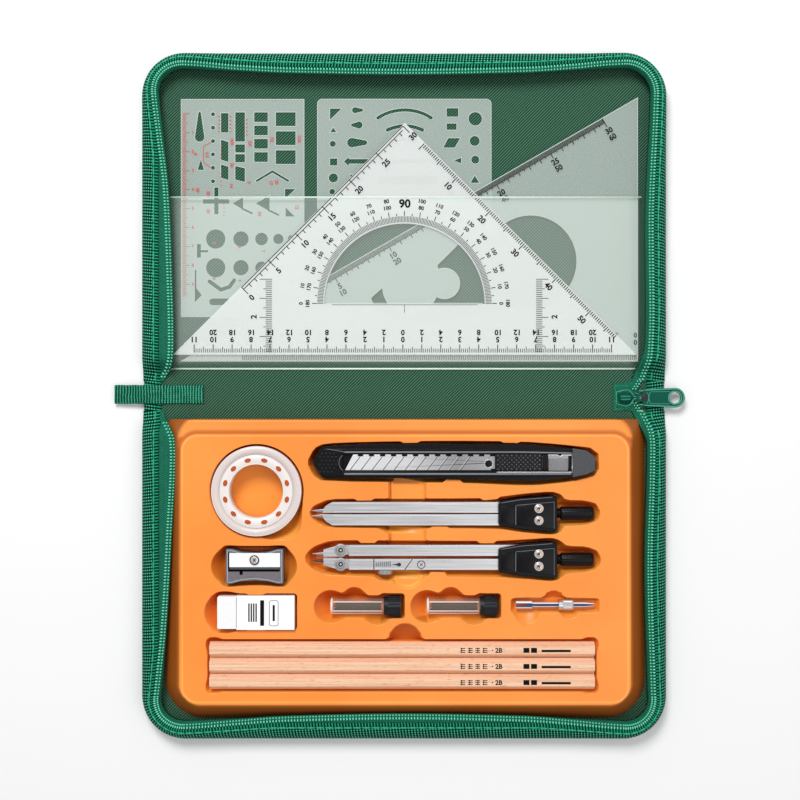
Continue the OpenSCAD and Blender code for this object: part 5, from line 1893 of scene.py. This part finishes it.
def tape():
    """Moulded spool with oval windows; a dark orange disc in each is painted shade, the tray seen
    through it in shadow.
    """
    x, y, z0, z1 = -74.1, -47.8, 4.3, 16.9
    spool = Build()
    spool.add(*lathe_z([(13.4, z0), (18.38, z0), (18.38, z1 - 0.25), (18.1, z1), (13.9, z1),
                        (13.4, z1 - 0.5)], x, y, 96))
    made = spool.piece("tape_spool_ring", SPOOL, "tape_roll")
    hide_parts("tape_spool")
    wind = Build()
    wind.add(*lathe_z([(18.42, z0), (22.6, z0), (22.6, z1 - 0.7), (22.3, z1 - 0.35),
                       (18.42, z1 - 0.35)], x, y, 96))
    made = wind.piece("tape_winding_ring", WINDING, "tape_roll")
    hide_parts("tape_winding")
    holes, rims = Build(), Build()
    for n in range(12):
        a = math.radians(15 + 30 * n)
        cx, cy = x + 15.95 * math.cos(a), y + 15.95 * math.sin(a)
        radial, along = np.array((math.cos(a), math.sin(a))), np.array((-math.sin(a), math.cos(a)))
        oval = [np.array((cx, cy)) + radial * 1.25 * math.cos(t) + along * 1.8 * math.sin(t)
                for t in np.linspace(0, 2 * math.pi, 24, endpoint=False)]
        chip(holes, oval, z1 - 0.3, z1 + 0.02, 0.01)
        rail(rims, oval, 0.3, z1, 0.12, closed=True)
    holes.piece("tape_spool_windows", WINDOW_SHADE, "tape_roll")
    # the outer ring on the winding's edge is a painted highlight
    for radius, width, drop, height in ((13.75, 0.4, 0.02, 0.15), (18.15, 0.3, 0.02, 0.12),
                                        (22.35, 0.35, 0.45, 0.2)):
        rail(rims, circle(x, y, radius, 96), width, z1 - drop, height, closed=True)
    rims.piece("tape_spool_rims", WHITE, "tape_roll")


def sharpener():
    top = Build()
    outline = catmull([(-89.0, -93.8), (-86.5, -93.9), (-82, -92.8), (-75, -92.1), (-68, -92.8),
                       (-63.3, -93.9), (-60.8, -93.8)], 26)
    upper = catmull([(-60.8, -77.0), (-63.3, -76.9), (-68, -78.2), (-75, -79.0), (-82, -78.2),
                     (-86.5, -76.9), (-89.0, -77.0)], 26)
    around = np.vstack([outline, upper])
    rail(top, np.vstack([offset(around, 0.55), offset(around, 0.55)[:1]]), 0.55, 16.35, 0.2)
    top.piece("sharpener_rim", SHARP_EDGE, "sharpener")
    # the slot is painted dark as shade
    slot = Build()
    for area in ((-88.2, -88.0, -62.2, -85.75), (-82.4, -89.6, -80.8, -87.2),
                 (-88.2, -86.2, -87.4, -78.4)):
        chip(slot, oblong(*area, 0.2, 2), 16.3, 16.46, 0.05)
    slot.piece("sharpener_slot", SHADOW_BLACK, "sharpener")
    edge = Build()
    chip(edge, oblong(-87.4, -86.9, -62.4, -85.8, 0.2, 2), 16.46, 16.56, 0.03)
    edge.piece("sharpener_cutting_edge", GREY, "sharpener")
    # a dark ring round the screw is painted shadow, and its cross is painted dark as shade
    head, dark = Build(), Build()
    rail(dark, circle(-74.9, -82.1, 2.15, 40), 0.5, 17.35, 0.2, closed=True)
    cross(dark, (-74.9, -82.1), 1.0, (50, 130), 0.45, 17.4, 0.15)
    chip(head, circle(-74.9, -82.1, 1.95, 32), 17.2, 17.45, 0.1)
    head.piece("sharpener_screw_head", SILVER, "sharpener")
    dark.piece("sharpener_screw_slot", SHADOW_BLACK, "sharpener")
    soften(["sharpener_body"], 0.5)


def eraser():
    """Plain marks stand where the maker's print would be."""
    ink = Print(17.3)
    for n in range(4):
        ink.line(-77.6 + n * 1.2, -113.0, -77.6 + n * 1.2, -103.8, 0.7)
    ink.line(-71.0, -115.0, -71.0, -102.2, 2.0)
    ink.line(-65.2, -112.6, -65.2, -104.6, 1.1)
    ink.piece("eraser_sleeve_bars", PRINT, "sleeve", smooth=False)
    frame_line = Build()
    rail(frame_line, oblong(-67.4, -115.0, -63.0, -102.4, 1.0), 0.3, 17.3, 0.02, closed=True)
    rail(frame_line, [(-83.85, -116.2), (-83.85, -100.8)], 0.25, 17.28, 0.05)
    frame_line.piece("eraser_sleeve_frame", GREY, "sleeve")
    soften(["eraser_block"], 0.6)


def lead_boxes():
    """The leads in both boxes, painted highlights along the clear tubes and round their ends, and the
    caps' ribs.
    """
    for name, shift in (("left", 0), ("right", 48.4)):
        leads, shine, ribs = Build(), Build(), Build()
        for n in range(9):
            y, z = -107.6 + n * 0.46, 12.4 + 0.5 * (n % 3)
            ends = (shift - 35.2 + 0.3 * (n % 4), shift - 11.4 - 0.3 * (n % 3))
            leads.add(*lathe_x([(ends[0], 0.05), (ends[0], 0.44), (ends[1], 0.44), (ends[1], 0.05)],
                               y, z, 8))
        leads.piece(f"leads_{name}", LEADS, f"lead_box_{name}")
        for y, z, r in ((-103.4, 15.0, 0.3), (-107.9, 15.1, 0.26), (-109.4, 13.2, 0.22)):
            streak = [(shift - 36.2, r * 0.6), (shift - 35.4, r), (shift - 11.0, r)]
            shine.add(*lathe_x(streak, y, z, 8))
        shine.add(*lathe_x([(shift - 36.95, 3.2), (shift - 36.7, 3.95), (shift - 36.1, 4.04),
                            (shift - 35.9, 3.4)], -105.75, 11.9, 32))
        shine.piece(f"lead_tube_{name}_shine", WHITE, f"lead_box_{name}")
        for n in range(9):
            a = math.radians(20 + n * 17.5)
            y, z = -105.75 + 5.16 * math.cos(a), 11.9 + 5.16 * math.sin(a)
            ribs.add(*lathe_x([(shift - 8.0, 0.1), (shift - 7.6, 0.26), (shift - 2.4, 0.26),
                               (shift - 1.9, 0.1)], y, z, 6))
        ribs.piece(f"lead_cap_{name}_ribs", MATT_BLACK, f"cap_{name}")
    soften(["lead_cap_left", "lead_cap_right"], 0.35)


PENCILS = {"pencil_1": "pencil_upper", "pencil_2": "pencil_middle", "pencil_3": "pencil_lower"}


def pencil_marks():
    """The grade, with plain bars where the maker's print would be."""
    for body, node in PENCILS.items():
        low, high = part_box(node)
        middle, top = (low[1] + high[1]) / 2 / MM, high[2] / MM
        ink = Print(top)
        for n in range(4):
            x = 29.4 + n * 3.7
            for dy in (-1.05, -0.1, 0.9):
                ink.line(x - 1.2, middle + dy, x + 1.2, middle + dy, 0.42)
            upright = x - 0.7 + 0.4 * (n % 3)
            ink.line(upright, middle - 1.3, upright, middle + 1.3, 0.4)
        ink.line(43.9, middle, 44.5, middle, 0.6)
        ink.number("2B", 47.4, middle, 2.5)
        for x in (61.2, 65.0):
            ink.line(x - 1.5, middle, x + 1.5, middle, 2.5)
        ink.line(68.8, middle - 0.3, 83.4, middle - 0.3, 1.2)
        ink.piece(f"{node}_marks", PRINT, body, smooth=False)


def adaptor():
    knurl = Build()
    sides = 40
    points = []
    profile = [(77.3, 2.2), (77.6, 2.65), (79.3, 2.65), (79.6, 2.3), (79.9, 2.5), (84.2, 2.5),
               (84.8, 2.1)]
    for x, r in profile:
        for k in range(sides):
            a = 2 * math.pi * k / sides
            radius = r - 0.18 * (k % 2) * (79.7 < x < 84.5)
            points.append((x, -104.8 + radius * math.cos(a), 14.6 + radius * math.sin(a)))
    faces = grid_faces(len(profile), sides, closed=True)
    knurl.add(points, faces)
    knurl.piece("adaptor_collar_knurl", SATIN, "collar", smooth=False)
    prongs = Build()
    for y in (-105.9, -103.7):
        prongs.add(*lathe_x([(56.1, 0.2), (56.3, 0.5), (61.8, 0.6), (63.9, 0.9)], y, 14.9, 12))
    prongs.piece("adaptor_prongs", CHROME, "adaptor")


# ---------------------------------------------------------------- slider and puller


def slider():
    body = Build()
    outline = [(107.7, -4.4), (112.9, -5.6), (115.4, -4.9), (117.4, -1.9), (119.4, -1.9),
               (120.9, -1.5), (121.3, -0.9), (120.9, -0.3), (119.4, 0.1), (117.4, 0.1),
               (115.4, 3.0), (112.9, 3.6), (107.7, 2.5)]
    bridge = catmull([(109.0, -0.9), (110.0, -2.7), (112.8, -3.2), (115.5, -2.3), (116.6, -0.9),
                      (115.5, 0.5), (112.8, 1.4), (110.0, 0.9)], 32)
    terrace(body, bridge, [(0, 4.6), (0.15, 5.3), (0.6, 5.75), (1.1, 5.95)])
    made = body.piece("zip_slider_body", GREEN_PAINT, "slider")
    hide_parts("zip_slider")
    # lighter green lines are painted highlights along the slider's edges, its ridges and its loop
    lines = Build()
    for y in (-0.2, -1.7):
        rail(lines, densify([(110.4, y), (115.0, y)], 0.5), 0.42, 5.9, 0.25)
    rail(lines, offset(outline, 0.45), 0.5, 4.85, 0.3, closed=True)
    loop = catmull([(117.6, 1.5), (119.3, 1.1), (120.5, 0.1), (120.9, -0.9), (120.5, -1.9),
                    (119.3, -2.9), (117.6, -3.3)], 30)
    rail(lines, loop, 0.45, 4.7, 0.3)
    lines.piece("zip_slider_edge_highlights", GREEN_HIGHLIGHT, "slider")


def puller():
    """The puller's outline, the rim of its hole and the arms at its pin in lighter green as painted
    highlights, and painted shade in the eye at its pin.
    """
    tag = Build()
    middle = -0.9
    edge = np.vstack([densify([(122.2, middle - 3.85), (137.9, middle - 4.55)], 1.0)[:-1],
                      [(137.9 + 4.55 * math.cos(a), middle + 4.55 * math.sin(a))
                       for a in np.linspace(-math.pi / 2, math.pi / 2, 22)],
                      densify([(137.9, middle + 4.55), (122.2, middle + 3.85)], 1.0)[1:]])
    rail(tag, edge, 0.75, 5.38, 0.3)
    rail(tag, circle(137.9, middle, 3.3, 48), 0.7, 5.38, 0.28, closed=True)
    for side in (-1, 1):
        rail(tag, densify([(125.4, middle + side * 3.0), (135.2, middle + side * 3.15)]), 0.3, 5.38,
             0.14)
    rail(tag, circle(130.2, middle, 5.6, 16, 148, 212), 0.35, 5.38, 0.16)
    rail(tag, circle(119.6, middle, 4.9, 16, -38, 38), 0.35, 5.38, 0.16)
    tag.piece("zip_puller_rim_highlights", GREEN_HIGHLIGHT, "puller")
    shade = Build()
    chip(shade, circle(122.6, middle + 0.2, 1.9, 24), 5.3, 5.42, 0.02)
    shade.piece("zip_puller_eye_shade", EYE_SHADE, "puller")
    arch = Build()
    for side in (-1, 1):
        rail(arch, densify([(119.6, middle + side * 3.5), (123.0, middle + side * 3.55)], 0.7),
             0.9, 4.9, 0.5)
    arch.piece("zip_puller_arms", GREEN_HIGHLIGHT, "puller")
    soften(["zip_puller"], 0.3)


def tools():
    knife()
    drawing_instruments()
    tape()
    sharpener()
    eraser()
    lead_boxes()
    pencil_marks()
    adaptor()
    slider()
    puller()
    end_patch()


CAD_MATERIALS = {
    BOARD: ["base_board", "lid_board"],
    GREEN_PAINT: ["zip_puller"],
    FROST_WHITE: ["set_square_45"],
    FROST_GREY: ["set_square_30_60", "template_symbols", "template_shapes"],
    BLACK: ["knife_body", "knife_rail", "divider_head", "compass_head"],
    MATT_BLACK: ["knife_slider", "lead_cap_left", "lead_cap_right"],
    SHARP_GREY: ["sharpener_body"],
    BRIGHT: ["sharpener_blade"],
    GREY: ["knife_end_cap"],
    SATIN: ["divider_leg_upper", "divider_leg_lower", "compass_leg_upper", "compass_leg_lower",
            "compass_knee_upper", "compass_knee_lower", "compass_thumb_screw"],
    SILVER: ["divider_screws", "compass_screws"],
    CHROME: ["adaptor_rod", "divider_point_upper", "divider_point_lower", "compass_needle"],
    SATIN_CHROME: ["adaptor_collar", "sharpener_screw"],
    BLADE: ["knife_blade"],
    GRAPHITE: ["compass_lead"],
    RUBBER: ["eraser_block"],
    CARD: ["eraser_sleeve"],
    TUBE: ["lead_tube_left", "lead_tube_right"],
    WOOD: ["pencil_upper", "pencil_middle", "pencil_lower"],
}


def paint_cad():
    for material, nodes in CAD_MATERIALS.items():
        for node in nodes:
            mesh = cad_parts[node].data
            mesh.materials.clear()
            mesh.materials.append(material)


# ---------------------------------------------------------------- camera, light and floor

CAMERA_HEIGHT = 700
CAMERA_AT = (-2.05, -2.05)
VIEW_W = 410.2  # width that the picture shows at the table


def camera():
    data = bpy.data.cameras.new("camera")
    data.sensor_width = 36
    data.lens = data.sensor_width * CAMERA_HEIGHT / VIEW_W
    made = bpy.data.objects.new("camera", data)
    made.location = (CAMERA_AT[0] * MM, CAMERA_AT[1] * MM, CAMERA_HEIGHT * MM)
    bpy.context.scene.collection.objects.link(made)
    bpy.context.scene.camera = made


def softbox(name, place, target, size, watts):
    data = bpy.data.lights.new(name, "AREA")
    data.shape = "SQUARE"
    data.size = size
    data.energy = watts
    made = bpy.data.objects.new(name, data)
    made.location = place
    made.rotation_mode = "QUATERNION"
    aim = Vector(target) - Vector(place)
    made.rotation_quaternion = aim.to_track_quat("-Z", "Y")
    bpy.context.scene.collection.objects.link(made)


# Lights, in metres and watts: place, side of the square, power.
KEY_LIGHT = ((-0.25, 0.75, 1.1), 0.5, 13)
FILL_LIGHT = ((0.7, -0.4, 1.3), 1.2, 5)
SKY_STRENGTH = 0.42


def studio():
    for name, (place, size, watts) in (("key", KEY_LIGHT), ("fill", FILL_LIGHT)):
        softbox(name, place, (0, 0, 0), size, watts)
    world = bpy.data.worlds.new("studio")
    world.use_nodes = True
    background = world.node_tree.nodes["Background"]
    background.inputs["Color"].default_value = (1, 1, 1, 1)
    background.inputs["Strength"].default_value = SKY_STRENGTH
    bpy.context.scene.world = world
    bpy.context.scene.view_settings.view_transform = "Standard"


def floor():
    paint = Paint("floor", rgb(246, 246, 246), roughness=0.9)
    size, z = 4000, -0.05
    corners = [(-size, -size, z), (size, -size, z), (size, size, z), (-size, size, z)]
    made = piece("floor", corners, [(0, 1, 2, 3)], paint.material)


camera()
studio()
floor()
paint_cad()
tray()
cloth()
rim()
spine_rim()
webbing()
plates()
tools()
